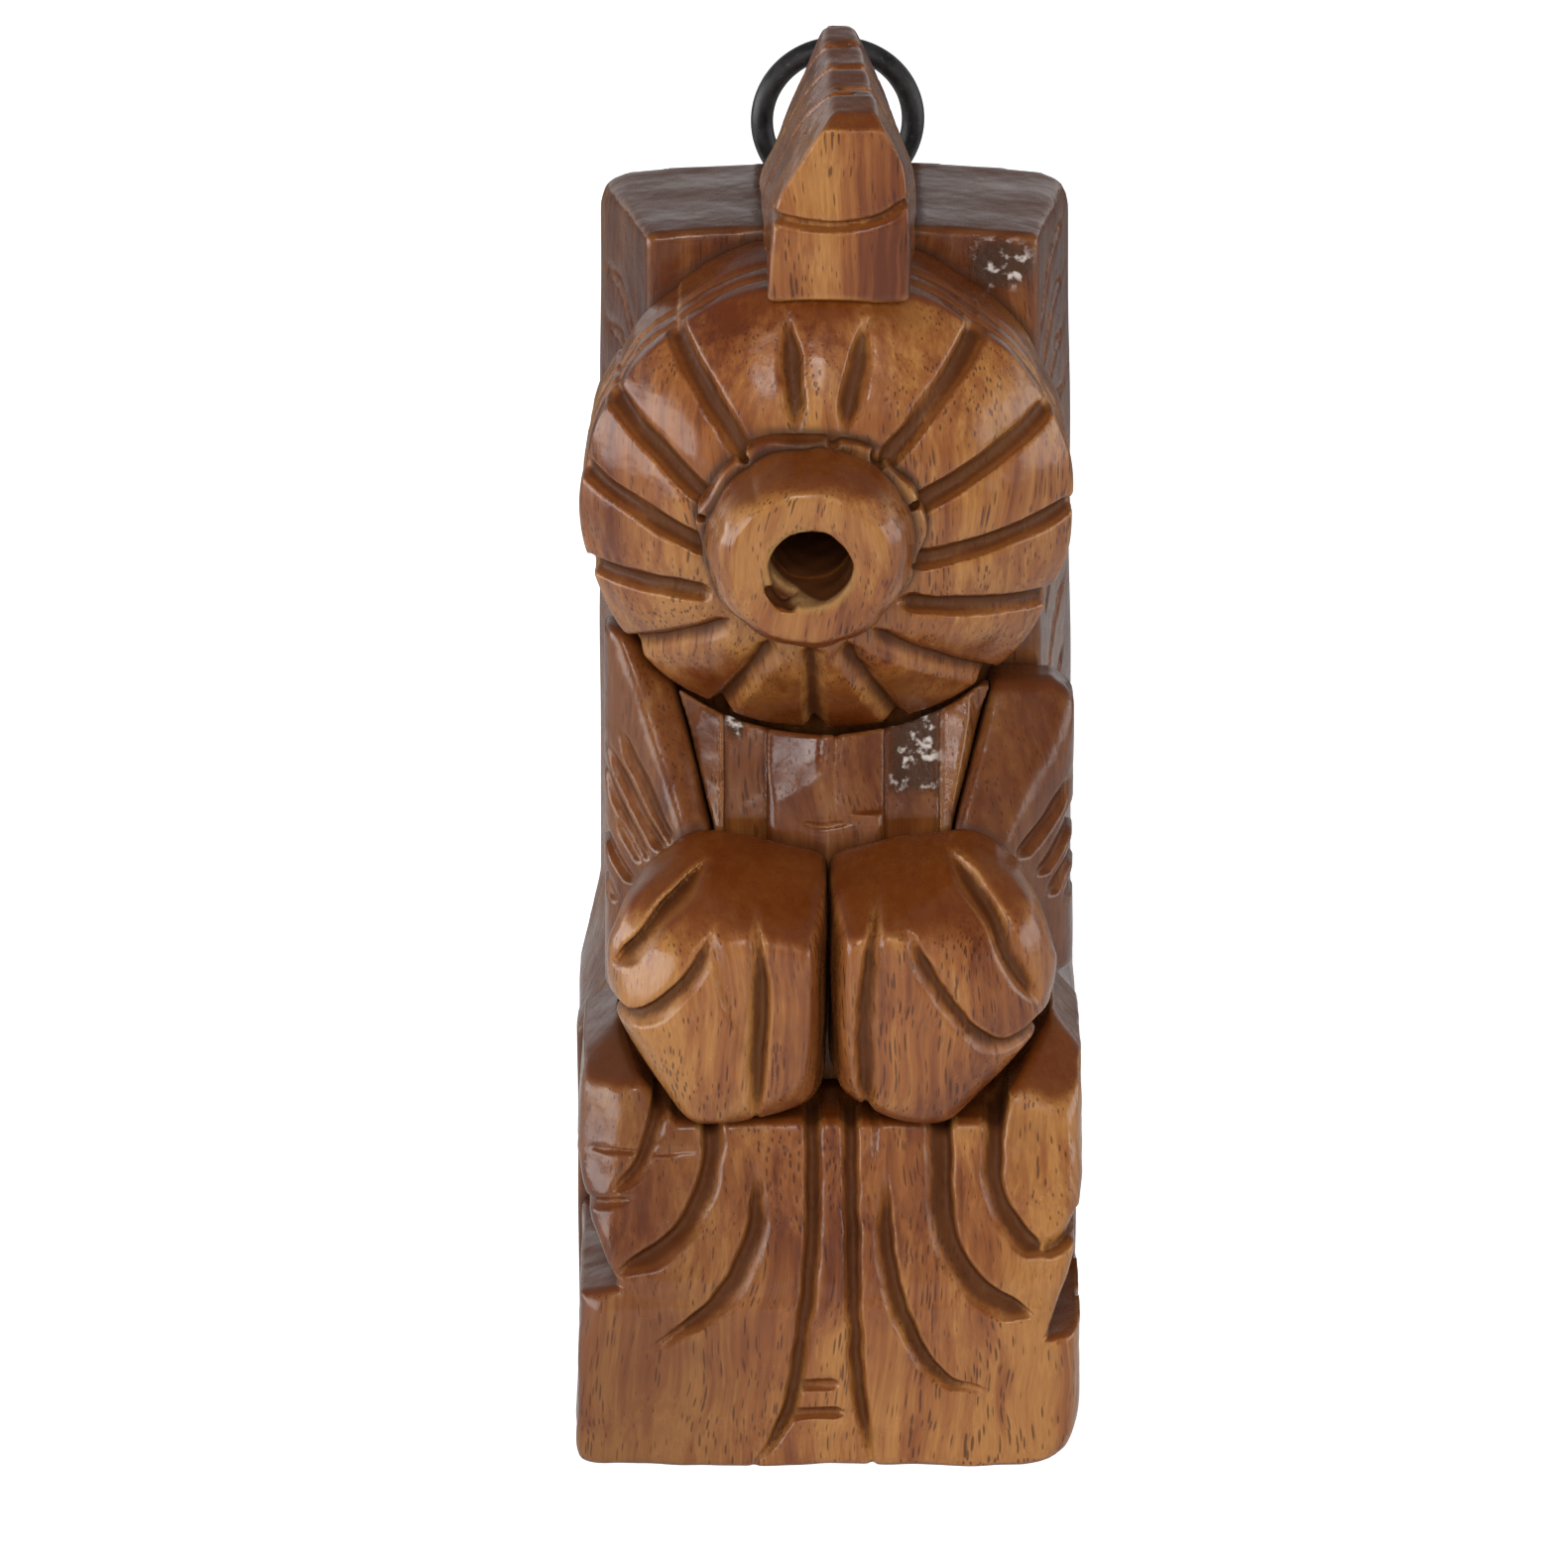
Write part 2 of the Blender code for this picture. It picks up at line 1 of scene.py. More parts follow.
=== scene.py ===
"""The looks of the carved tiki figure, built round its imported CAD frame.

Each wooden piece is shaped as a signed distance on a grid of points, in the
way a carver works: planes and rounds first, then facets, then knife and
gouge cuts measured down from the surface. The zero surface becomes the
piece's mesh. Everything is in millimetres until add_piece().
"""

import math

import bmesh
import bpy
import numpy as np
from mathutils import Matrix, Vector


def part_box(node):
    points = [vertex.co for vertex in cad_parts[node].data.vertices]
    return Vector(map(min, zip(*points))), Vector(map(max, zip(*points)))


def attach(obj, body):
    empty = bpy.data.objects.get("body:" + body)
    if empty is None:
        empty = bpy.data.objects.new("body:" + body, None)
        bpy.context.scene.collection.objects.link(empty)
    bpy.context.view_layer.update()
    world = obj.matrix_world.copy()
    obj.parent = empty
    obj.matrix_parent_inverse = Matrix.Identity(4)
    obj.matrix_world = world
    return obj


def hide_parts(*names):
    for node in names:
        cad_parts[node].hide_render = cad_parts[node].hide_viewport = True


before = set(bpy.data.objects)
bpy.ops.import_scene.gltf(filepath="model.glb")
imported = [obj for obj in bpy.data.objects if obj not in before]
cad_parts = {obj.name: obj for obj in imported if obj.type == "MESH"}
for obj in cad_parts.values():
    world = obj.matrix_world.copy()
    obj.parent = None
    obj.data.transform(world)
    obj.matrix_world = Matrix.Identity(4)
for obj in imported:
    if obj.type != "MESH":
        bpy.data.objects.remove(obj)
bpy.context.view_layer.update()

MM = 0.001

# Carving.
COARSEN = 1.0
FINE_STEP = 0.36 * COARSEN
PLAIN_STEP = 0.6 * COARSEN
EDGE_BLEND = 0.18
DEEPEST_CUT = 1.5
HOLE_CLEARANCE = 0.2
# A glued back reaches this far into the CAD's seam.
GLUE_GAP = 0.25
LEAST_FACET = 0.5 * MM**2

# The head, as in the CAD. Its axis leans down at the front, and its front is a dome round the collar's seat.
HEAD_TILT = math.radians(7.5)
HEAD_CENTRE = (-0.2, -10.0, 115.5)
RIM_RADIUS = 28.9
SEAT_RADIUS = 13.0
SEAT_HEIGHT = 9.2
SPOUT_SHIFT = (-2.0, 1.6)

# Camera and light.
VIEW_ELEVATION = math.radians(20)
VIEW_DISTANCE = 1500.0
VIEW_TARGET = Vector((-5.3, 0.0, 77.0))
VIEW_WIDTH = 189.7


# Frame queries.


def node_box(name):
    """Lowest and highest corner of a CAD node, in millimetres."""
    low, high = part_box(name)
    return np.array(low) / MM, np.array(high) / MM


def hull_planes(name, least_turn=5.0):
    """Normals and offsets of the faces of a CAD node's convex hull, near-parallel ones merged."""
    bm = bmesh.new()
    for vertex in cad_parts[name].data.vertices:
        bm.verts.new(vertex.co)
    made = bmesh.ops.convex_hull(bm, input=bm.verts)
    faces = [item for item in made["geom"] if isinstance(item, bmesh.types.BMFace)]
    faces.sort(key=lambda face: -face.calc_area())
    middle = sum((v.co for v in bm.verts), Vector()) / len(bm.verts)
    planes = []
    for face in faces:
        face.normal_update()
        normal = face.normal.copy()
        offset = normal.dot(face.verts[0].co)
        if normal.dot(middle) > offset:
            normal, offset = -normal, -offset
        if face.calc_area() < LEAST_FACET:
            continue
        if all(normal.dot(kept) < math.cos(math.radians(least_turn)) for kept, _ in planes):
            planes.append((normal, offset))
    bm.free()
    return [(np.array(normal), offset / MM) for normal, offset in planes]


# Distance tools. Negative is inside the wood.


def blend_max(a, b, width):
    """The larger of two distances, with the edge between them rounded."""
    near = np.maximum(width - np.abs(a - b), 0.0)
    return np.maximum(a, b) + near * near / (4 * width)


def blend_min(a, b, width):
    """The smaller of two distances, with the corner between them filled."""
    return -blend_max(-a, -b, width)


def ease(low, high, value):
    """0 below low, 1 above high, and a smooth step between."""
    share = np.clip((value - low) / (high - low), 0.0, 1.0)
    return share * share * (3 - 2 * share)


def ripple(x, y, z, size, seed):
    """A smooth field between about -1 and 1, made of a few seeded waves."""
    rng = np.random.default_rng(seed)
    total = 0.0
    for _ in range(5):
        way = rng.normal(size=3)
        way *= 2 * math.pi / (size * rng.uniform(0.7, 1.5) * np.linalg.norm(way))
        total = total + np.sin(way[0] * x + way[1] * y + way[2] * z + rng.uniform(0, 2 * math.pi))
    return total / 3.0


def curve_through(points, step=0.8):
    """Evenly spaced points on a smooth curve through the given ones."""
    points = np.array(points, float)
    if len(points) == 2:
        dense = points[0] + np.linspace(0, 1, 60)[:, None] * (points[1] - points[0])
    else:
        padded = np.vstack([2 * points[0] - points[1], points, 2 * points[-1] - points[-2]])
        dense = []
        for p0, p1, p2, p3 in zip(padded, padded[1:], padded[2:], padded[3:]):
            t = np.linspace(0, 1, 20, endpoint=False)[:, None]
            bend = 2 * p0 - 5 * p1 + 4 * p2 - p3
            twist = 3 * p1 - p0 - 3 * p2 + p3
            dense.append((2 * p1 + t * (p2 - p0) + t**2 * bend + t**3 * twist) / 2)
        dense = np.vstack([*dense, points[-1:]])
    travelled = np.concatenate([[0.0], np.cumsum(np.linalg.norm(np.diff(dense, axis=0), axis=1))])
    count = max(4, int(travelled[-1] / step))
    stations = np.linspace(0, travelled[-1], count)
    return np.stack([np.interp(stations, travelled, dense[:, i]) for i in range(2)], axis=1)


def line_distance(u, v, line):
    """Signed distance to a line, positive on its left, and the share of its length at the nearest point."""
    nearest = np.full(u.shape, 1e9, np.float32)
    side = np.zeros(u.shape, np.float32)
    share = np.zeros(u.shape, np.float32)
    spans = len(line) - 1
    for i in range(spans):
        du, dv = line[i + 1] - line[i]
        along = ((u - line[i, 0]) * du + (v - line[i, 1]) * dv) / (du * du + dv * dv)
        along = np.clip(along, 0.0, 1.0)
        off_u = u - line[i, 0] - along * du
        off_v = v - line[i, 1] - along * dv
        distance = off_u * off_u + off_v * off_v
        closer = distance < nearest
        nearest = np.where(closer, distance, nearest)
        side = np.where(closer, du * off_v - dv * off_u, side)
        share = np.where(closer, (i + along) / spans, share)
    return np.sqrt(nearest) * np.where(side < 0, -1.0, 1.0), share


def outline_distance(u, v, outline):
    """Signed distance to a closed outline, negative inside it."""
    nearest = np.full(np.broadcast(u, v).shape, 1e9, np.float32)
    inside = np.zeros(nearest.shape, bool)
    for (u0, v0), (u1, v1) in zip(outline, outline[1:] + outline[:1]):
        du, dv = u1 - u0, v1 - v0
        along = np.clip(((u - u0) * du + (v - v0) * dv) / (du * du + dv * dv), 0.0, 1.0)
        nearest = np.minimum(nearest, (u - u0 - along * du) ** 2 + (v - v0 - along * dv) ** 2)
        if dv != 0:
            inside ^= ((v0 > v) != (v1 > v)) & (u < u0 + du * (v - v0) / dv)
    return np.sqrt(nearest) * np.where(inside, -1.0, 1.0)


class Block:
    """A blank of wood: a grid of points round one piece and the piece's signed distance at each."""

    def __init__(self, name, low, high, step):
        self.name = name
        self.step = step
        self.low = np.array(low, float) - 3 * step
        counts = np.ceil((np.array(high, float) + 3 * step - self.low) / step).astype(int) + 1
        axes = [self.low[i] + step * np.arange(counts[i]) for i in range(3)]
        grids = np.meshgrid(*[axis.astype(np.float32) for axis in axes], indexing="ij", sparse=True)
        self.x, self.y, self.z = grids
        self.values = np.full(tuple(counts), -1e3, np.float32)
        self.base = None
        self.patches = []
        self.bare = None

    def trim(self, distance, width=1.0):
        """Keeps only what is also inside the distance."""
        self.values = blend_max(self.values, distance, width).astype(np.float32)

    def trim_plane(self, normal, offset, width=1.0):
        """Cuts off what is in front of a plane."""
        self.trim(normal[0] * self.x + normal[1] * self.y + normal[2] * self.z - offset, width)

    def trim_through(self, points, keep, width=1.0):
        """Cuts along the plane through three points, on the side away from the point to keep."""
        a, b, c = [np.array(p, float) for p in points]
        normal = np.cross(b - a, c - a)
        normal /= np.linalg.norm(normal)
        if normal @ (np.array(keep, float) - a) > 0:
            normal = -normal
        self.trim_plane(normal, normal @ a, width)

    def add(self, distance, width=1.0):
        """Adds what is inside the distance."""
        self.values = blend_min(self.values, distance, width).astype(np.float32)

    def remove(self, distance, width=EDGE_BLEND):
        """Takes away what is inside the distance."""
        self.values = blend_max(self.values, -distance, width).astype(np.float32)

    def wave(self, height, size, seed):
        """The unevenness that hand tools leave."""
        self.values = self.values + height * ripple(self.x, self.y, self.z, size, seed).astype(np.float32)

    def settle(self):
        """Marks the shape so far as the surface that cuts are measured down from."""
        self.base = self.values.copy()

    def carve(self, plane, points, width, depth, bend=1.5, lean=0.0, ends=(0.25, 0.25), strength=None):
        """Cuts a groove along a line in a plane of the block.

        Bend 1 gives a V, 2 a gouge's round floor, 4 a flat one. Lean widens
        the left wall and steepens the right one. Ends are the shares of the
        length over which the groove fades in and out.
        """
        u, v = plane
        line = curve_through(points)
        reach = width * (1 + abs(lean)) * 1.4 + 1.0
        near = np.abs(self.base) < depth + 1.5
        near &= (u > line[:, 0].min() - reach) & (u < line[:, 0].max() + reach)
        near &= (v > line[:, 1].min() - reach) & (v < line[:, 1].max() + reach)
        if not near.any():
            return
        u = np.broadcast_to(u, near.shape)[near]
        v = np.broadcast_to(v, near.shape)[near]
        away, share = line_distance(u, v, line)
        seed = int(abs(line[0, 0] * 31 + line[0, 1] * 17 + line[-1, 1] * 7) * 10)
        away = away + 0.12 * ripple(u, v, 0.0, 4.0, seed)
        body = ease(0.0, max(ends[0], 1e-3), share) * (1 - ease(1 - max(ends[1], 1e-3), 1.0, share))
        uneven = 1 + 0.12 * ripple(u, v, 0.0, 6.0, seed + 1)
        half = width * (0.35 + 0.65 * body) * np.where(away > 0, 1 + lean, 1 - lean)
        deep = depth * np.sqrt(body) * uneven
        if strength is not None:
            deep = deep * np.broadcast_to(strength, near.shape)[near]
        floor = deep * (1 - (np.abs(away) / half) ** bend)
        slope = math.hypot(1.0, depth * bend / width)
        cut = (self.base[near] + floor) / slope
        cut[np.abs(away) > 2.2 * half] = -1e3
        self.values[near] = blend_max(self.values[near], cut, EDGE_BLEND)

    def drill(self, peg):
        """The hole for a dowel, round the dowel's own place in the frame."""
        low, high = node_box(peg)
        axis = int(np.argmax(high - low))
        middle = (low + high) / 2
        grids = (self.x, self.y, self.z)
        across = [grids[i] - middle[i] for i in range(3) if i != axis]
        radius = sorted(high - low)[0] / 2 + HOLE_CLEARANCE
        round_wall = np.sqrt(across[0] ** 2 + across[1] ** 2) - radius
        half_length = (high - low)[axis] / 2 + HOLE_CLEARANCE
        self.remove(np.maximum(round_wall, np.abs(grids[axis] - middle[axis]) - half_length), 0.05)

    def patch(self, distance, fade=1.0):
        """Marks a rough, thickly varnished spot, which gets painted glints. It is inside the distance."""
        self.patches.append((distance, fade))

    def sample(self, values, points):
        """Values of the grid at free points."""
        place = (points - self.low) / self.step
        top = np.array(values.shape) - 1.001
        place = np.clip(place, 0.0, top)
        cell = place.astype(int)
        part = (place - cell).astype(np.float32)
        total = 0.0
        for corner in np.ndindex(2, 2, 2):
            weight = np.prod(np.where(corner, part, 1 - part), axis=1)
            total = total + weight * values[tuple((cell + corner).T)]
        return total


def blur(values, passes=2):
    """The values of a grid, smoothed over its neighbours."""
    for _ in range(passes):
        for axis in range(3):
            values = (np.roll(values, 1, axis) + 2 * values + np.roll(values, -1, axis)) / 4
    return values


def surface_net(values, low, step):
    """Points and quads of the zero surface: one point in each cell that it crosses."""
    sealed = np.full(values.shape, step, values.dtype)
    core = (slice(1, -1),) * 3
    sealed[core] = values[core]
    values = sealed
    inside = values < 0
    shape = np.array(values.shape)
    corners = list(np.ndindex(2, 2, 2))
    windows = [tuple(slice(c, n - 1 + c) for c, n in zip(corner, shape)) for corner in corners]
    full = sum(inside[window].astype(np.int8) for window in windows)
    crossed = (full > 0) & (full < 8)
    cells = np.argwhere(crossed)
    number = np.full(crossed.shape, -1, np.int32)
    number[crossed] = np.arange(len(cells))
    at = {corner: values[tuple((cells + corner).T)] for corner in corners}
    total = np.zeros((len(cells), 3))
    hits = np.zeros(len(cells))
    for start in corners:
        for axis in range(3):
            if start[axis]:
                continue
            end = tuple(1 if i == axis else start[i] for i in range(3))
            cross = (at[start] < 0) != (at[end] < 0)
            share = at[start][cross] / (at[start][cross] - at[end][cross])
            point = np.tile(np.array(start, float), (len(share), 1))
            point[:, axis] += share
            total[cross] += point
            hits[cross] += 1
    points = low + step * (cells + total / hits[:, None])
    quads = []
    for axis in range(3):
        first = tuple(slice(0, -1) if i == axis else slice(None) for i in range(3))
        second = tuple(slice(1, None) if i == axis else slice(None) for i in range(3))
        edges = np.argwhere(inside[first] != inside[second])
        u, v = np.eye(3, dtype=int)[(axis + 1) % 3], np.eye(3, dtype=int)[(axis + 2) % 3]
        ring = [number[tuple((edges - shift).T)] for shift in (0 * u, u, u + v, v)]
        faces = np.stack(ring, axis=1)
        outward = inside[tuple(edges.T)]
        faces[~outward] = faces[~outward][:, ::-1]
        quads.append(faces)
    return points, np.vstack(quads)


# Materials.


class Graph:
    """The shader nodes of a material or of the world."""

    def __init__(self, owner):
        owner.use_nodes = True
        self.owner = owner
        self.tree = owner.node_tree
        self.tree.nodes.clear()

    def add(self, kind, inputs, output=0, **settings):
        """Adds a node, sets or links its inputs and returns one of its outputs."""
        node = self.tree.nodes.new("ShaderNode" + kind)
        for key, value in settings.items():
            setattr(node, key, value)
        for key, value in inputs.items():
            if isinstance(value, bpy.types.NodeSocket):
                self.tree.links.new(value, node.inputs[key])
            else:
                node.inputs[key].default_value = value
        return node.outputs[output]

    def split(self, kind, value):
        """The three parts of a colour or a vector."""
        return [self.add(kind, {0: value}, output=i) for i in range(3)]

    def math(self, operation, a, b=0.0):
        return self.add("Math", {0: a, 1: b}, operation=operation)

    def times(self, a, b):
        return self.math("MULTIPLY", a, b)

    def plus(self, a, b):
        return self.math("ADD", a, b)

    def span(self, value, low, high, to_low=0.0, to_high=1.0):
        """Maps low..high to the other range, clamped, with a smooth step."""
        inputs = {"Value": value, "From Min": low, "From Max": high, "To Min": to_low, "To Max": to_high}
        return self.add("MapRange", inputs, interpolation_type="SMOOTHSTEP")

    def mix(self, share, a, b):
        """Mixes two colours."""
        return self.add("Mix", {0: share, 6: a, 7: b}, output=2, data_type="RGBA")

    def noise(self, vector, scale, detail=3.0, roughness=0.5):
        inputs = {"Vector": vector, "Scale": scale, "Detail": detail, "Roughness": roughness}
        return self.add("TexNoise", inputs)

    def stretch(self, vector, factors):
        return self.add("VectorMath", {0: vector, 1: factors}, operation="MULTIPLY")

    def place(self, shift=(0.0, 0.0, 0.0)):
        """The shaded point in millimetres, moved by a shift so that pieces differ."""
        metres = self.add("TexCoord", {}, output=3)
        scaled = self.add("VectorMath", {0: metres, "Scale": 1 / MM}, operation="SCALE")
        return self.add("VectorMath", {0: scaled, 1: shift}, operation="ADD")

    def bump(self, height, distance, strength=1.0):
        return self.add("Bump", {"Height": height, "Distance": distance * MM, "Strength": strength})

    def finish(self, kind="BsdfPrincipled", into="Material", **inputs):
        """Ends the nodes in a shader with these inputs and returns their owner."""
        named = {key.replace("_", " "): value for key, value in inputs.items()}
        output = self.tree.nodes.new("ShaderNodeOutput" + into)
        self.tree.links.new(self.add(kind, named), output.inputs[0])
        return self.owner


def new_material(name):
    """An empty shader graph for a material of this name."""
    return Graph(bpy.data.materials.new(name))


GOLDEN = (0.39, 0.175, 0.045, 1.0)
TAN = (0.25, 0.084, 0.020, 1.0)
BROWN = (0.15, 0.040, 0.009, 1.0)
RED_BROWN = (0.075, 0.015, 0.004, 1.0)
PORE = (0.035, 0.008, 0.002, 1.0)
DIRT_AND_SHADE = (0.025, 0.010, 0.004, 1.0)
END_GRAIN_AND_TOP_SHADE = (0.11, 0.022, 0.002, 1.0)
RAW_WOOD = (0.30, 0.16, 0.06, 1.0)
SIDE_SHADE = (0.07, 0.018, 0.004, 1.0)
CUT_FLOOR_DIRT_AND_SHADE = (0.065, 0.022, 0.008, 1.0)
GLINT = (0.60, 0.54, 0.49, 1.0)


def varnished_wood(name, shift, warmth_and_shade, stain_and_side_shade):
    """Straight-grained hardwood under a hand-brushed, satin varnish.

    The grain runs along Z. The mesh's "carve" colours say where it is cut:
    red is the depth below the old surface, green how exposed an edge is,
    blue a rough spot with painted glints and alpha how close another piece
    is, where dirt and painted shade darken it. "bare" is how bare of varnish
    it is. The side shade's two shares are painted shade for left and right.
    """
    g = new_material(name)
    point = g.place(shift)
    carve = g.add("Attribute", {}, output="Color", attribute_name="carve")
    cut, edge, rough = g.split("SeparateColor", carve)
    crevice = g.add("Attribute", {}, output="Alpha", attribute_name="carve")
    bare = g.add("Attribute", {}, output="Fac", attribute_name="bare")

    wander = g.noise(point, 0.03, 2.0)
    drift = g.add("TexNoise", {"Vector": point, "Scale": 0.035}, output=1)
    drift = g.add("VectorMath", {0: drift, "Scale": 9.0}, operation="SCALE")
    bent = g.add("VectorMath", {0: point, 1: drift}, operation="ADD")
    bands = g.noise(g.stretch(bent, (1.0, 1.0, 0.045)), 0.13, 3.0, 0.55)
    streaks = g.noise(g.stretch(bent, (1.0, 1.0, 0.04)), 0.75, 4.0, 0.6)
    fibres = g.noise(g.stretch(bent, (1.0, 1.0, 0.03)), 3.2, 3.0, 0.6)

    tone = g.plus(g.times(bands, 0.55), g.times(streaks, 0.45))
    tone = g.plus(tone, g.times(g.math("SUBTRACT", wander, 0.5), 0.5))
    # The warmth is partly the wood's own tone and partly painted shade: pieces in shade, such as the arms,
    # post and chest, get a darker tone.
    tone = g.plus(tone, (warmth_and_shade - 0.5) * 0.3)
    colour = g.mix(g.span(tone, 0.40, 0.52), BROWN, TAN)
    colour = g.mix(g.span(tone, 0.50, 0.64, 0.0, 0.8), colour, GOLDEN)
    colour = g.mix(g.span(tone, 0.43, 0.33, 0.0, 0.8), colour, RED_BROWN)
    colour = g.mix(g.span(fibres, 0.3, 0.7, 0.28, 0.0), colour, RED_BROWN)

    upward = g.split("SeparateXYZ", g.add("NewGeometry", {}, output=1))[2]
    level_facing = g.span(g.math("ABSOLUTE", upward), 0.42, 0.75)
    # Partly end grain and partly painted shade: faces that look up or down get a dark, saturated colour, as
    # the top faces are in shade.
    colour = g.mix(g.times(level_facing, 0.85), colour, END_GRAIN_AND_TOP_SHADE)

    pore_map = g.stretch(bent, (2.1, 2.1, 0.2))
    cell = g.add("TexVoronoi", {"Vector": pore_map, "Scale": 1.0})
    crowd = g.noise(g.stretch(bent, (1.0, 1.0, 0.15)), 0.22, 2.0)
    size = g.span(crowd, 0.35, 0.65, 0.12, 0.3)
    soft_pore = g.span(g.math("SUBTRACT", cell, size), 0.09, -0.05)
    pore_ink = g.times(soft_pore, g.span(level_facing, 0.0, 1.0, 0.72, 0.2))
    colour = g.mix(pore_ink, colour, PORE)

    blotch = g.noise(point, 0.09, 4.0, 0.6)
    colour = g.mix(g.span(blotch, 0.5, 0.75, 0.0, 0.35), colour, RED_BROWN)

    # Painted light and thin varnish: the walls of the cuts are lightened toward golden.
    wall = g.times(g.span(cut, 0.08, 0.3), g.span(cut, 0.7, 0.4))
    colour = g.mix(g.times(wall, 0.12), colour, GOLDEN)
    worn = g.times(g.span(edge, 0.35, 0.9), g.span(blotch, 0.3, 0.6, 0.0, 0.35))
    colour = g.mix(worn, colour, GOLDEN)
    dust = g.noise(g.stretch(point, (1.0, 1.0, 0.5)), 1.7, 4.0, 0.65)
    # Darker toward the floor of each cut: dirt in the grooves and painted shade.
    bottom = g.plus(cut, g.times(g.math("SUBTRACT", dust, 0.5), 0.5))
    colour = g.mix(g.span(bottom, 0.3, 0.8, 0.0, 0.85), colour, CUT_FLOOR_DIRT_AND_SHADE)
    # Darker where another piece is close: dirt and painted shade between the parts.
    grime_and_shade = g.times(crevice, g.span(blotch, 0.2, 0.6, 0.6, 0.95))
    colour = g.mix(g.times(grime_and_shade, 0.85), colour, DIRT_AND_SHADE)
    # Painted shade: darker toward the piece's left or right side, by the side shade's two shares.
    across = g.split("SeparateXYZ", point)[0]
    colour = g.mix(g.span(across, shift[0] - 24.0, shift[0] + 4.0, *stain_and_side_shade), colour, SIDE_SHADE)
    # Painted glints: the rough spots get a dark crust with grey-white specks as highlights.
    glint_speck = g.noise(point, 0.55, 3.0, 0.55)
    crust_and_glint_colour = g.mix(g.span(glint_speck, 0.53, 0.66), (0.04, 0.018, 0.009, 1.0), GLINT)
    colour = g.mix(g.times(rough, 0.85), colour, crust_and_glint_colour)
    colour = g.mix(g.times(bare, g.span(dust, 0.3, 0.7, 0.95, 0.6)), colour, RAW_WOOD)

    sides = g.span(level_facing, 0.0, 1.0, 1.0, 0.3)
    grain_height = g.plus(g.times(soft_pore, -0.35), g.times(fibres, 0.25))
    grain = g.bump(g.times(grain_height, sides), 0.12, 0.45)
    lumps = g.plus(g.noise(point, 0.16, 2.0), g.times(g.noise(point, 0.9, 3.0), 0.1))
    lumps = g.plus(lumps, g.times(soft_pore, -0.03))
    crust = g.times(g.times(rough, g.noise(point, 0.9, 5.0, 0.7)), 3.5)
    coat = g.bump(g.plus(lumps, crust), 0.8, 0.42)
    gloss = g.span(g.noise(point, 0.25, 4.0, 0.65), 0.3, 0.75, 0.15, 0.3)
    gloss = g.plus(gloss, g.times(g.plus(crevice, cut), 0.25))
    varnish = g.times(g.span(cut, 0.15, 0.6, 1.0, 0.3), g.span(bare, 0.0, 1.0, 1.0, 0.1))
    return g.finish(
        Base_Color=colour,
        Roughness=0.55,
        Specular_IOR_Level=0.05,
        Normal=grain,
        Coat_Weight=varnish,
        Coat_Roughness=gloss,
        Coat_IOR=1.5,
        Coat_Normal=coat,
    )


def peg_wood():
    """Bare beech dowel: pale, with short dark flecks along its length and sanded ends."""
    g = new_material("peg_wood")
    point = g.place()
    fibre = g.noise(g.stretch(point, (1.2, 0.08, 1.2)), 1.6, 3.0)
    fleck = g.add("TexVoronoi", {"Vector": g.stretch(point, (1.6, 0.3, 1.6)), "Scale": 1.0})
    colour = g.mix(g.span(fibre, 0.3, 0.7), (0.50, 0.33, 0.17, 1.0), (0.66, 0.48, 0.28, 1.0))
    colour = g.mix(g.span(fleck, 0.16, 0.06, 0.0, 0.6), colour, (0.28, 0.15, 0.06, 1.0))
    stain_and_side_shade = g.noise(point, 0.4, 3.0)
    colour = g.mix(g.span(stain_and_side_shade, 0.5, 0.7, 0.0, 0.4), colour, (0.36, 0.22, 0.10, 1.0))
    roughness = g.span(fibre, 0.3, 0.7, 0.5, 0.75)
    return g.finish(Base_Color=colour, Roughness=roughness, Normal=g.bump(fibre, 0.15))


def black_rubber():
    """Cord of black rubber: matt bloom, fine pits and dust."""
    g = new_material("black_rubber")
    point = g.place()
    bloom = g.noise(point, 0.35, 4.0, 0.6)
    pits = g.noise(point, 5.0, 3.0)
    dust = g.times(g.span(g.noise(point, 2.2, 4.0), 0.6, 0.72), 0.25)
    colour = g.mix(g.span(bloom, 0.35, 0.7), (0.010, 0.009, 0.010, 1.0), (0.026, 0.023, 0.024, 1.0))
    colour = g.mix(dust, colour, (0.16, 0.14, 0.12, 1.0))
    return g.finish(
        Base_Color=colour,
        Roughness=g.span(bloom, 0.3, 0.7, 0.28, 0.5),
        Normal=g.bump(pits, 0.05, 0.6),
    )


def eye_steel():
    """Zinc-plated wire: drawn lines, dull spots and a little rust near the wood."""
    g = new_material("eye_steel")
    point = g.place()
    drawn = g.noise(g.stretch(point, (1.0, 6.0, 6.0)), 1.2, 3.0)
    spots = g.noise(point, 1.4, 5.0, 0.7)
    rust = g.span(spots, 0.55, 0.72, 0.0, 0.8)
    colour = g.mix(g.span(drawn, 0.3, 0.7), (0.55, 0.53, 0.50, 1.0), (0.70, 0.69, 0.66, 1.0))
    colour = g.mix(rust, colour, (0.16, 0.07, 0.03, 1.0))
    return g.finish(
        Base_Color=colour,
        Metallic=g.span(rust, 0.2, 0.7, 1.0, 0.25),
        Roughness=g.span(spots, 0.3, 0.7, 0.22, 0.5),
        Normal=g.bump(drawn, 0.03, 0.5),
    )


# Pieces.


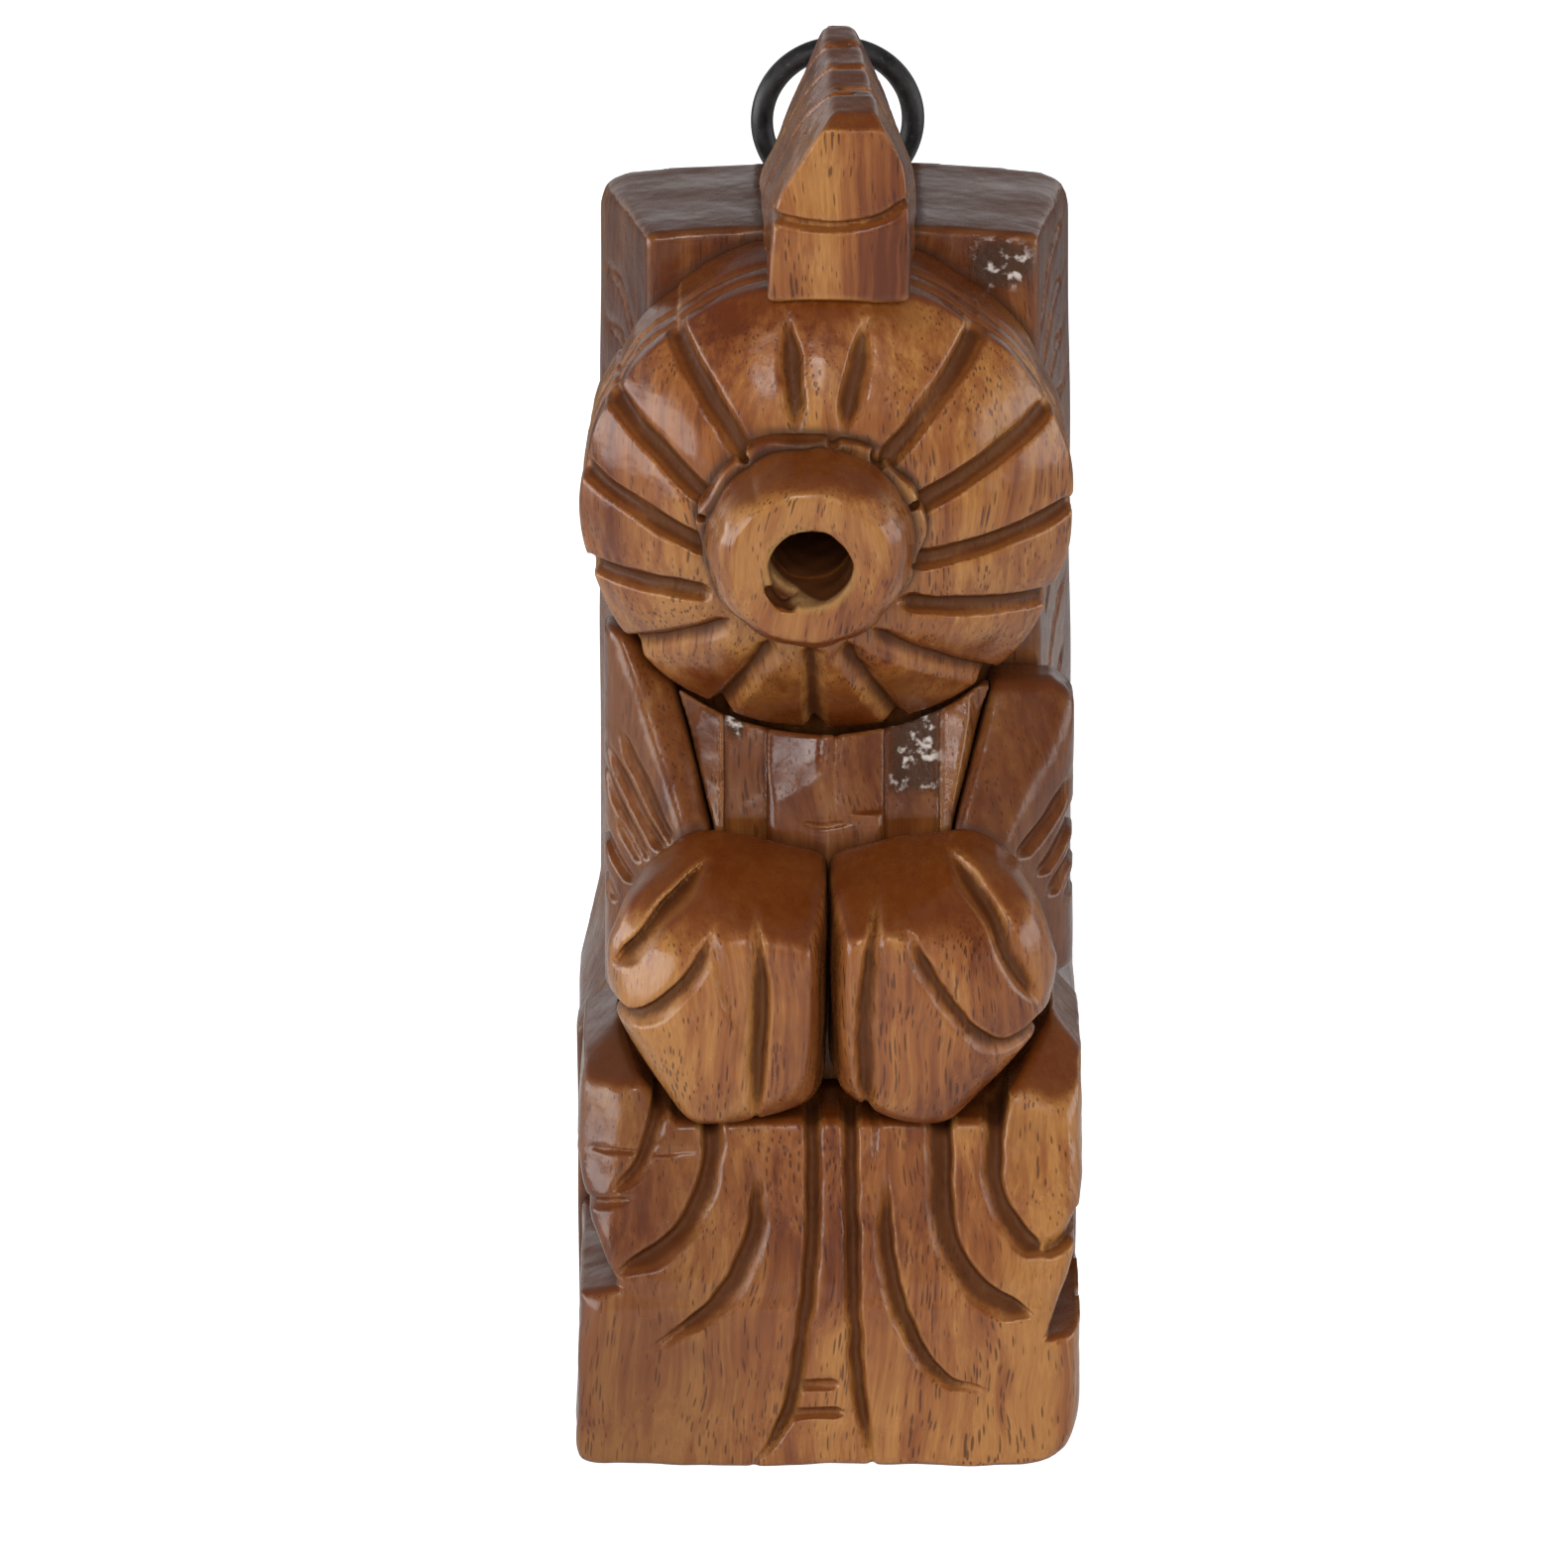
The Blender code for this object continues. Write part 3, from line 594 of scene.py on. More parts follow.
def add_piece(name, points, faces, material, body="figure", colours=None, bare=None):
    """Makes a mesh from millimetre points, and lets it stand for a CAD node."""
    mesh = bpy.data.meshes.new(name)
    corners = faces.shape[1]
    mesh.vertices.add(len(points))
    mesh.vertices.foreach_set("co", (points * MM).astype(np.float32).ravel())
    mesh.loops.add(faces.size)
    mesh.loops.foreach_set("vertex_index", faces.astype(np.int32).ravel())
    mesh.polygons.add(len(faces))
    mesh.polygons.foreach_set("loop_start", np.arange(0, faces.size, corners, dtype=np.int32))
    mesh.update(calc_edges=True)
    mesh.validate()
    mesh.shade_smooth()
    if colours is not None:
        layer = mesh.color_attributes.new("carve", "FLOAT_COLOR", "POINT")
        layer.data.foreach_set("color", colours.astype(np.float32).ravel())
    if bare is not None:
        layer = mesh.attributes.new("bare", "FLOAT", "POINT")
        layer.data.foreach_set("value", bare.astype(np.float32))
    mesh.materials.append(material)
    piece = bpy.data.objects.new(name, mesh)
    bpy.context.scene.collection.objects.link(piece)
    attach(piece, body)
    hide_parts(name)
    return piece


def bare_share(block, points):
    """How bare of varnish each point of a surface is."""
    if block.bare is None:
        return np.zeros(len(points))
    return 1 - ease(-0.5, 0.5, block.bare(*points.T))


def carve_colours(block, points, others):
    """Cut depth, edge exposure, rough spots and closeness to other pieces, at each point of a surface."""
    cut = np.clip(-block.sample(block.base, points) / DEEPEST_CUT, 0.0, 1.0)
    edge = np.clip(block.sample(blur(block.values), points) / (0.35 * block.step), 0.0, 1.0)
    rough = np.zeros(len(points))
    for distance, fade in block.patches:
        inside = distance(*points.T)
        rough = np.maximum(rough, 1 - ease(-fade, fade, inside))
    crevice = np.zeros(len(points))
    for other in others:
        place = (points - other.low) / other.step
        held = np.all((place > 0) & (place < np.array(other.values.shape) - 1), axis=1)
        if held.any():
            away = other.sample(other.values, points[held])
            crevice[held] = np.maximum(crevice[held], 1 - ease(0.1, 1.1, away))
    return np.stack([cut, edge, rough, crevice], axis=1)


def block_for(name, step, room=0.0):
    """A blank round a CAD node, with spare room for what stands proud of it."""
    low, high = node_box(name)
    return Block(name, low - room, high + room, step)


def carve_post():
    """Full-height post: square at the base, slanting sides above it, rounded top corners."""
    block = block_for("back_post", PLAIN_STEP)
    low, high = node_box("back_post")
    x, y, z = block.x, block.y, block.z
    front, back = low[1], high[1]
    share = (y - front) / (back - front)
    top = high[2]
    heights = [low[2], 44.0, 48.0, 55.0, top]
    # Places of the left and right side at these heights, at the front and at the back.
    front_left = np.interp(z, heights, [low[0], low[0], -27.5, -22.6, -21.7])
    back_left = np.interp(z, heights, [low[0], low[0], -29.6, -28.2, -27.8])
    front_right = np.interp(z, heights, [high[0], high[0], 29.2, 26.0, 25.0])
    back_right = np.interp(z, heights, [high[0], high[0], high[0], 30.4, 29.4])
    left = front_left + (back_left - front_left) * share
    right = front_right + (back_right - front_right) * share
    block.trim(0.98 * (left - x), 1.2)
    block.trim(0.98 * (x - right), 1.2)
    block.trim(front - y, 0.6)
    block.trim(y - back, 1.0)
    block.trim(low[2] - z, 1.0)
    crown = top + 0.7 - ((x - 1.2) / 26.0) ** 2 * 1.4
    block.trim(0.98 * (z - crown), 0.9)
    for across in (back_left - x, x - back_right):
        block.trim(0.72 * across + 0.69 * (z - top) + 1.6, 2.2)
    block.wave(0.12, 12.0, 3)
    block.settle()

    side_plane = (block.y, block.z)
    left_side = ease(-10.0, -14.0, x)
    right_side = ease(10.0, 14.0, x)
    for level in (133.0, 126.5, 119.5):
        line = [(6.0, level - 6.0), (12.0, level - 1.5), (18.5, level + 1.2), (26.0, level + 1.5)]
        block.carve(side_plane, line, 1.0, 0.9, lean=0.3, strength=left_side)
    for level in (139.0, 132.0, 125.0, 118.0):
        line = [(5.0, level - 7.0), (9.0, level - 2.5), (15.0, level + 1.0), (25.0, level + 2.2)]
        block.carve(side_plane, line, 1.0, 0.9, lean=0.3, strength=right_side)
    for number, level in enumerate((104.0, 94.0, 84.0, 74.0)):
        line = [(8.0, level - 8.0), (14.0, level - 3.0), (24.0, level + 1.0 + number)]
        block.carve(side_plane, line, 0.9, 0.8, lean=0.2, strength=left_side + right_side)
    # The rough spot is on the front face only.
    behind = 100.0
    block.patch(lambda a, b, c: np.hypot((a - 20.6) / 1.3, c - 142.0) - 3.0 + behind * (b > front + 1.5), 0.7)
    for peg in ("left_skirt", "right_skirt", "torso", "head", "crest", "left_arm", "right_arm"):
        block.drill(peg + "_dowel")
    drill_eye_hole(block)
    return block


def drill_eye_hole(block):
    """The pilot hole of the screw eye in the post's back."""
    low, high = node_box("screw_eye")
    middle = (low + high) / 2
    radius = 0.9
    wall = np.hypot(block.x - middle[0], block.z - middle[2]) - radius
    block.remove(np.maximum(wall, low[1] - 0.3 - block.y), 0.05)


def skirt_face(z):
    """Depth of the skirt's front at a height: upright on the plinth, leaning back above it."""
    return np.interp(z, [0.0, 20.5, 24.0, 44.0, 60.0], [-30.0, -30.0, -29.4, -24.6, -20.0])


def carve_skirt():
    """The draped lap: plinth, overhanging knees, sash and fold cuts."""
    block = block_for("skirt_block", FINE_STEP, 0.6)
    low, high = node_box("skirt_block")
    x, y, z = block.x, block.y, block.z
    outline = [(low[0], 0.0), (high[0], 0.0), (high[0], 17.8), (26.3, 16.6), (29.6, 27.0), (30.7, 36.0)]
    outline += [(high[0], 49.0), (27.0, 53.0), (19.6, 43.0), (-18.0, 43.0), (-25.4, 51.0), (-29.6, 48.0)]
    outline += [(-30.3, 38.0), (-28.4, 30.0), (-25.3, 23.3), (low[0] + 0.6, 21.8)]
    flat = outline_distance(x[:, 0, :], z[0, 0, :][None, :], outline)[:, None, :]
    block.trim(flat, 0.8)
    block.trim(0.97 * (skirt_face(z) - y), 1.4)
    block.trim(y - high[1] - GLUE_GAP, 0.4)
    # Worn and knife-cut corners: bottom right round, right front edge chamfered, both knees faceted.
    block.trim(0.7 * (x - high[0]) - 0.71 * z + 2.2, 3.2)
    block.trim(0.6 * (low[0] - x) - 0.8 * z + 0.4, 2.0)
    block.trim(0.75 * (x - high[0]) - 0.66 * (y - low[1]) + 1.5, 2.0)
    block.trim(0.6 * (low[0] - x) - 0.8 * (y - low[1]) + 0.3, 1.5)
    inside = (0, -10, 20)
    block.trim_through([(31.0, -24.0, 44.5), (20.0, -25.0, 46.5), (29.5, -10.0, 55.0)], inside, 1.2)
    block.trim_through([(31.0, -20.0, 50.0), (31.0, -26.5, 30.0), (26.0, -26.0, 50.5)], inside, 1.4)
    block.trim_through([(-30.5, -20.0, 44.0), (-27.0, -29.2, 24.0), (-24.0, -24.6, 46.0)], inside, 1.4)
    block.trim_through([(-30.5, -18.0, 47.0), (-21.0, -26.0, 47.5), (-26.0, -10.0, 51.5)], inside, 1.2)
    block.wave(0.14, 12.0, 11)
    block.wave(0.05, 4.5, 12)
    block.settle()

    forward = ease(-12.0, -18.0, y)
    left_sash = [(-2.1, 47.0), (-2.1, 29.1), (-3.4, 15.9), (-5.1, 6.7), (-9.3, -0.5)]
    right_sash = [(2.6, 47.0), (3.0, 29.1), (3.4, 15.9), (4.3, 6.7), (5.6, -0.5)]
    right_fold = [(7.0, 38.2), (7.5, 26.9), (10.0, 18.2), (13.7, 12.2), (20.5, 9.4)]
    cuts = [
        # points, half width, depth, bend, lean, ends
        (left_sash, 1.15, 1.5, 1.6, 0.2, (0.02, 0.18)),
        (right_sash, 1.15, 1.5, 1.6, -0.15, (0.02, 0.18)),
        ([(-4.3, 10.7), (1.6, 10.9)], 0.8, 0.9, 2.0, 0.0, (0.12, 0.2)),
        ([(-5.0, 6.9), (2.3, 7.2)], 0.85, 0.95, 2.0, 0.0, (0.12, 0.2)),
        ([(-20.2, 46.0), (-22.3, 38.9), (-25.9, 34.2)], 1.2, 1.4, 1.3, 0.3, (0.02, 0.25)),
        ([(-29.5, 32.2), (-23.4, 33.6)], 0.7, 0.8, 1.5, 0.0, (0.05, 0.3)),
        ([(-14.5, 46.0), (-14.7, 36.8), (-18.3, 29.6), (-25.6, 24.7)], 1.5, 1.7, 1.4, 0.35, (0.02, 0.2)),
        ([(-8.6, 38.4), (-9.4, 29.1), (-13.6, 21.4), (-22.4, 14.8)], 1.6, 1.7, 1.3, 0.35, (0.3, 0.45)),
        (right_fold, 1.4, 1.6, 1.3, -0.45, (0.3, 0.3)),
        ([(14.2, 46.0), (14.5, 31.1), (18.3, 23.8), (24.9, 19.7)], 1.8, 2.0, 1.3, -0.5, (0.02, 0.12)),
        ([(20.9, 46.0), (20.4, 35.8), (22.6, 30.7), (26.2, 27.2)], 1.5, 1.7, 1.4, -0.45, (0.02, 0.1)),
        ([(25.8, 27.3), (28.0, 28.2), (31.0, 31.5)], 1.3, 1.2, 1.3, 0.3, (0.05, 0.02)),
        ([(-28.5, 39.1), (-15.3, 39.3)], 0.35, 0.5, 1.3, 0.0, (0.1, 0.3)),
        ([(5.2, 46.0), (5.6, 41.0), (5.4, 36.0)], 0.5, 0.5, 1.3, 0.0, (0.05, 0.4)),
    ]
    for points, width, depth, bend, lean, ends in cuts:
        block.carve((x, z), points, width, depth, bend, lean, ends, forward)
    for peg in ("left_skirt_dowel", "right_skirt_dowel"):
        block.drill(peg)
    return block


def seams(z):
    """Left and right seam between chest and arms: close together just above the hands, wider above."""
    left = np.interp(z, [66.0, 74.0, 76.0, 91.0], [-17.1, -13.8, -14.0, -18.2])
    right = np.interp(z, [66.0, 74.0, 76.0, 91.0], [19.1, 14.9, 15.1, 19.4])
    return left, right


def slab(x, y, centre, half_width, front, chamfer):
    """A raised upright panel with chamfered edges."""
    across = np.abs(x - centre) - half_width
    return np.maximum(np.maximum(across, front - y), 0.7 * (across + front - y) + 0.7 * chamfer)


def carve_torso():
    """The chest leans back: a raised faceted panel, a sunk panel either side, and flaps beside the arms."""
    block = block_for("torso", FINE_STEP, 1.2)
    low, high = node_box("torso")
    x, y, z = block.x, block.y, block.z
    front = low[1] + np.interp(z, [76.0, 88.0], [0.0, 3.8])
    block.trim(low[2] - z, 0.4)
    block.trim(z - 91.5, 0.4)
    block.trim(y - high[1] - GLUE_GAP, 0.4)
    block.trim(front + 3.6 - y, 0.3)

    panel = slab(x, y, -0.3, 7.0, front + 0.2, 0.8)
    bright_facet = 0.90 * (low[1] + 0.5 - y) + 0.43 * (z - 78.5) - 0.08 * (x + 1.0)
    right_facet = 0.96 * (front + 0.3 - y) + 0.26 * (x - 2.4)
    panel = np.maximum(panel, np.minimum(bright_facet, -0.9 - x))
    panel = np.maximum(panel, np.minimum(right_facet, z - 77.5))
    flap_front = low[1] + np.interp(z, [76.0, 90.0], [0.3, 6.5])
    left_flap = np.maximum(x + 12.5, 0.87 * (flap_front - y) + 0.5 * (-12.5 - x))
    ridge = np.interp(z, [77.0, 88.0], [14.6, 17.0])
    right_flap = np.maximum(13.4 - x, 0.98 * (flap_front - y) - 0.15 * (x - 15.0))
    right_flap = np.maximum(right_flap, 0.55 * (flap_front - y) + 0.83 * (x - ridge))
    block.add(panel, 0.25)
    block.add(left_flap, 0.2)
    block.add(right_flap, 0.2)
    block.trim(low[2] - z, 0.4)
    block.trim(z - 91.5, 0.4)
    left, right = seams(z)
    block.trim(0.96 * (left + 0.15 - x), 0.1)
    block.trim(0.96 * (x - right + 0.15), 0.1)
    block.trim(y - high[1] - GLUE_GAP, 0.4)
    # The top slopes down to the back, below the head's rim.
    rim_foot = HEAD_CENTRE[2] - np.sqrt((RIM_RADIUS + 0.6) ** 2 - (x - HEAD_CENTRE[0]) ** 2)
    block.trim(0.9 * (z - rim_foot + 0.4 + 0.36 * (y + 6.2)), 0.3)
    block.trim(-head_clearance(block), 0.3)
    block.wave(0.07, 7.0, 21)
    block.settle()
    block.carve((x, z), [(1.2, 88.0), (0.7, 83.0), (1.0, 77.0)], 0.4, 0.3, ends=(0.1, 0.4))
    block.carve((x, z), [(-4.0, 76.6), (-0.5, 76.0), (3.4, 76.8)], 0.5, 0.5, ends=(0.3, 0.3))
    block.patch(lambda a, b, c: np.maximum(np.abs(a - 10.4) - 2.9, 79.0 - c), 1.0)
    block.patch(lambda a, b, c: np.hypot(a + 11.2, (c - 87.5) / 2.0) - 1.2, 0.5)
    for peg in ("torso_dowel", "left_hand_dowel", "right_hand_dowel"):
        block.drill(peg)
    return block


def carve_arm(name, ridge, outer_point, seam_point, top, cuts):
    """An upper arm: a smooth inner plane and a grooved outer one, meeting at a slanting ridge."""
    reach_to_seam = 5.0
    block = block_for(name, FINE_STEP, np.array([reach_to_seam, 1.2, 1.2]))
    low, high = node_box(name)
    side = math.copysign(1.0, low[0] + high[0])
    outer = high[0] if side > 0 else -low[0]
    block.values = np.full_like(block.values, -50.0)
    block.trim(block.y - high[1] - GLUE_GAP, 0.4)
    block.trim(low[1] - 1.5 - block.y, 0.4)
    block.trim(low[2] - block.z, 0.8)
    block.trim(side * block.x - outer + 0.3, 1.0)
    seam = seams(block.z)[int(side > 0)]
    block.trim(0.96 * side * (seam - block.x) + 0.15, 0.1)
    block.trim(top(block.x, block.z), 1.2)
    block.trim(-head_clearance(block), 0.3)
    inside = ((low[0] + high[0]) / 2, high[1] - 1.0, low[2] + 8.0)
    for corner in (outer_point, seam_point):
        block.trim_through([*ridge, corner], inside, 1.6)
    block.wave(0.1, 8.0, 31 + int(side))
    block.settle()
    for line, width in cuts:
        block.carve((block.x, block.z), line, width, 0.9 * width, 1.3, 0.35 * side, (0.35, 0.1))
    block.drill(name + "_dowel")
    return block


def carve_arms():
    """Both arms. A row of a table holds a cut's points and half width."""
    left_cuts = [
        ([(-25.0, 86.0), (-22.0, 80.3), (-18.6, 73.5)], 1.2),
        ([(-26.4, 83.6), (-23.0, 77.6), (-19.5, 72.2)], 1.1),
        ([(-27.0, 80.8), (-24.4, 75.5), (-21.3, 70.6)], 1.0),
        ([(-25.4, 74.8), (-22.4, 70.0)], 0.7),
        ([(-27.2, 73.5), (-25.6, 70.0), (-23.4, 66.8)], 0.9),
        ([(-27.4, 67.5), (-25.4, 63.8)], 0.8),
    ]
    left_ridge = [(-23.6, -6.0, 93.5), (-17.9, -13.0, 77.3)]

    def left_top(x, z):
        return z - 98.0

    right_cuts = [
        ([(28.9, 79.6), (26.5, 75.6), (22.6, 71.6)], 1.3),
        ([(30.2, 76.6), (28.2, 72.4), (25.2, 68.0)], 1.2),
        ([(30.4, 72.4), (28.8, 68.6), (26.4, 65.0)], 1.0),
        ([(30.4, 67.4), (28.6, 63.8)], 0.8),
    ]
    right_ridge = [(28.7, -5.5, 85.9), (21.2, -13.0, 73.8)]

    def right_top(x, z):
        return np.maximum(z - 91.6, 0.8 * (z - 90.8) + 0.6 * (x - 28.0))

    left = carve_arm("left_arm", left_ridge, (-26.5, -3.5, 80.0), (-18.2, -4.5, 91.4), left_top, left_cuts)
    right = carve_arm("right_arm", right_ridge, (30.0, -3.5, 76.0), (19.4, -5.0, 90.8), right_top, right_cuts)
    return left, right


def carve_hand(name, seed, cuts):
    """A rounded hand, cut to broad facets, with finger lines."""
    block = block_for(name, FINE_STEP, 0.6)
    for normal, offset in hull_planes(name):
        faces_back = normal[1] > 0.99
        block.trim_plane(normal, offset + 0.2, 0.5 if faces_back else 1.9)
    block.wave(0.14, 9.0, seed)
    block.settle()
    for points, width, depth, bend, lean, ends in cuts:
        block.carve((block.x, block.z), points, width, depth, bend, lean, ends)
    block.drill(name + "_dowel")
    return block


def carve_hands():
    """Both hands. A row of a table holds a cut's points, half width, depth, bend, lean and ends."""
    left_cuts = [
        ([(-17.0, 76.4), (-24.2, 70.6), (-27.0, 64.2)], 0.7, 0.7, 1.3, 0.3, (0.2, 0.2)),
        ([(-14.2, 74.6), (-19.9, 69.9), (-25.8, 62.4)], 1.2, 1.3, 1.3, 0.45, (0.25, 0.2)),
        ([(-13.5, 68.6), (-17.8, 62.0), (-22.9, 57.8), (-26.8, 58.6)], 1.3, 1.4, 1.3, 0.45, (0.2, 0.1)),
        ([(-9.0, 71.2), (-7.9, 64.0), (-7.8, 58.0), (-8.6, 43.0)], 1.6, 1.7, 1.2, -0.4, (0.35, 0.35)),
        ([(-14.4, 69.5), (-12.7, 61.1), (-10.4, 56.0)], 0.9, 0.7, 1.2, 0.5, (0.3, 0.3)),
    ]
    long_finger = [(9.2, 69.2), (13.9, 61.1), (17.3, 56.6), (21.0, 54.2), (27.2, 56.8)]
    right_cuts = [
        ([(6.2, 72.8), (4.8, 65.6), (4.1, 56.5), (4.6, 43.0)], 1.6, 1.5, 1.2, 0.3, (0.35, 0.3)),
        (long_finger, 1.3, 1.4, 1.3, -0.4, (0.2, 0.08)),
        ([(14.0, 75.4), (19.0, 69.5), (21.7, 63.6), (25.4, 57.8)], 1.4, 1.4, 1.3, 0.4, (0.2, 0.25)),
        ([(19.4, 76.6), (24.6, 70.9), (28.2, 62.0)], 0.8, 0.8, 1.3, -0.3, (0.15, 0.15)),
    ]
    return carve_hand("left_hand", 41, left_cuts), carve_hand("right_hand", 42, right_cuts)


# The head, its collar and spout are shaped in the head's own axes.


def head_axes(x, y, z):
    """Right, up and forward distances from the head's centre."""
    right = x - HEAD_CENTRE[0]
    dy = y - HEAD_CENTRE[1]
    dz = z - HEAD_CENTRE[2]
    up = dz * math.cos(HEAD_TILT) - dy * math.sin(HEAD_TILT)
    forward = -dy * math.cos(HEAD_TILT) - dz * math.sin(HEAD_TILT)
    return right, up, forward


def dome_height(radius, height):
    """Height of the head's front over the rim's plane, for a dome this high at the collar's seat."""
    rise = np.clip((radius - SEAT_RADIUS) / (RIM_RADIUS - SEAT_RADIUS), 0.0, 1.3)
    return height * (1 - rise**1.5)


# Inner and outer end of each cut between two petals, right and up from the head's centre.
HEAD_CUTS = (
    ((10.5, -2.3), (28.8, 0.3)),
    ((10.2, 4.8), (25.8, 12.8)),
    ((7.1, 11.0), (18.0, 23.3)),
    ((1.7, 13.7), (4.7, 25.9)),
    ((-3.6, 13.8), (-4.6, 26.4)),
    ((-8.9, 10.6), (-18.2, 23.5)),
    ((-12.9, 4.7), (-25.7, 15.1)),
    ((-14.6, -0.6), (-28.6, 5.1)),
    ((-14.9, -6.9), (-28.1, -7.6)),
    ((-12.6, -11.3), (-23.5, -18.0)),
    ((-7.4, -14.4), (-13.3, -26.4)),
    ((-2.2, -15.0), (-1.6, -29.2)),
    ((2.7, -14.4), (8.9, -28.0)),
    ((6.4, -12.3), (19.8, -21.8)),
    ((9.6, -7.9), (27.4, -11.9)),
)
CUTS_MEET = (-2.2, -4.0)


def carve_head():
    """A drum whose front is a shallow dome, fluted into fifteen petals."""
    block = block_for("head_drum", FINE_STEP, 0.8)
    back = node_box("head_drum")[1][1]
    u, v, w = head_axes(block.x, block.y, block.z)
    radius = np.hypot(u, v)
    turn = np.degrees(np.arctan2(v - CUTS_MEET[1], u - CUTS_MEET[0])) % 360
    ends = np.array([end for _, end in HEAD_CUTS]) - CUTS_MEET
    steps = np.degrees(np.arctan2(ends[:, 1], ends[:, 0])) % 360
    steps = np.array([steps[-1] - 360, *steps, steps[0] + 360])
    phase = np.interp(turn, steps, np.arange(len(steps)))
    crown = np.abs(np.sin(np.pi * phase))
    petal = np.floor(phase).astype(int) % len(HEAD_CUTS)
    rng = np.random.default_rng(7)
    stand = rng.uniform(-0.35, 0.3, len(HEAD_CUTS))[petal]
    dome = dome_height(radius, SEAT_HEIGHT) + 0.4 * crown * ease(13.0, 20.0, radius)
    low_side = ease(-10.0, -24.0, v)
    edge_radius = RIM_RADIUS + 0.3 + 0.5 * stand * (1 - low_side) + 0.3 * crown + 0.3 * low_side
    wall = radius - edge_radius + 0.05 * np.clip(-w - 2.0, 0.0, 30.0)
    bevel = 0.75 * (radius - edge_radius) + 0.66 * w + 0.7 - 0.5 * low_side
    block.trim(0.85 * (w - dome), 0.5)
    block.trim(wall, 0.5)
    block.trim(bevel, 0.3)
    block.trim(block.y - back - GLUE_GAP, 0.4)
    block.wave(0.1, 8.0, 51)
    block.settle()

    front = ease(-4.5, -1.5, w)
    for inner, outer in HEAD_CUTS:
        inner, outer = np.array(inner), np.array(outer)
        along = (outer - inner) / np.linalg.norm(outer - inner)
        high_up = inner[1] > 13.0
        low_down = outer[1] < -17.0
        start = inner - (0.0 if high_up else 1.5) * along
        stop = outer + (0.3 if high_up else 1.2) * along
        ends = (0.3, 0.35) if high_up else (0.1, 0.08)
        gouge = (1.5, 1.35, 2.2, 0.0)
        if low_down:
            toward_left = math.copysign(1.0, CUTS_MEET[0] + 1.5 - outer[0])
            gouge = (1.7, 1.3, 1.1, 0.35 * toward_left)
        block.carve((u, v), [start, stop], *gouge, ends, front)
    for level, depth in ((-4.6, 0.6), (-8.4, 0.5)):
        ring = np.abs(w - level + 0.5 * ripple(block.x, block.y, block.z, 22.0, 52))
        cut = (block.base + depth * (1 - ring / 0.9)) / 1.3
        block.values = blend_max(block.values, cut, EDGE_BLEND).astype(np.float32)
    socket_radius = 7.3
    socket_floor = -2.8
    centred = np.hypot(u - SPOUT_SHIFT[0], v - SPOUT_SHIFT[1])
    block.remove(np.maximum(centred - socket_radius, socket_floor - w), 0.1)
    block.drill("head_dowel")
    return block


def spout_axes(block):
    """Distance from the spout's axis, turn round it and height over the rim's plane."""
    u, v, w = head_axes(block.x, block.y, block.z)
    u, v = u - SPOUT_SHIFT[0], v - SPOUT_SHIFT[1]
    return np.hypot(u, v), np.arctan2(v, u), w


def carve_collar():
    """An uneven ring at the spout's foot, with broken spots."""
    block = block_for("spout_collar", FINE_STEP * 0.8, 0.8)
    radius, turn, w = spout_axes(block)
    uneven = 0.35 * np.sin(3 * turn + 0.6) + 0.25 * np.sin(7 * turn) + 0.15 * np.sin(13 * turn + 1.0)
    outer = 13.3 + uneven
    bottom = 8.8
    top = 11.6
    lip = top + 0.3 * np.sin(5 * turn + 0.5) - 0.8 * ease(0.75, 0.95, np.sin(turn * 2.0 - 0.9))
    block.trim(radius - outer, 1.2)
    block.trim(7.4 - radius, 0.1)
    block.trim(w - lip, 0.8)
    block.trim(bottom - w, 0.1)
    block.wave(0.12, 4.0, 61)
    block.settle()
    breaks = ((52, 1.0), (20, 0.6), (78, 0.7), (127, 0.8), (168, 0.5), (206, 0.7), (305, 0.8), (342, 0.5))
    for angle, size in breaks:
        a = math.radians(angle)
        across = radius * np.sin(turn - a)
        along = radius * np.cos(turn - a)
        notch = np.hypot(across / size, (along - SEAT_RADIUS) / (1.2 * size)) - 1.0
        block.remove(notch * size + 0.3 * ripple(block.x, block.y, block.z, 2.5, angle), 0.3)
    return block


def bare_bore(x, y, z):
    """Inside the bare, freshly cut stretch of the bore, low on its left near the mouth."""
    u, v, w = head_axes(x, y, z)
    u, v = u - SPOUT_SHIFT[0], v - SPOUT_SHIFT[1]
    radius = np.hypot(u, v)
    reach = 13.8 + 4.5 * ease(-3.0, 2.0, u) + 3.0 * ease(-1.0, 2.0, v)
    return np.maximum(radius - 5.6, reach - w)


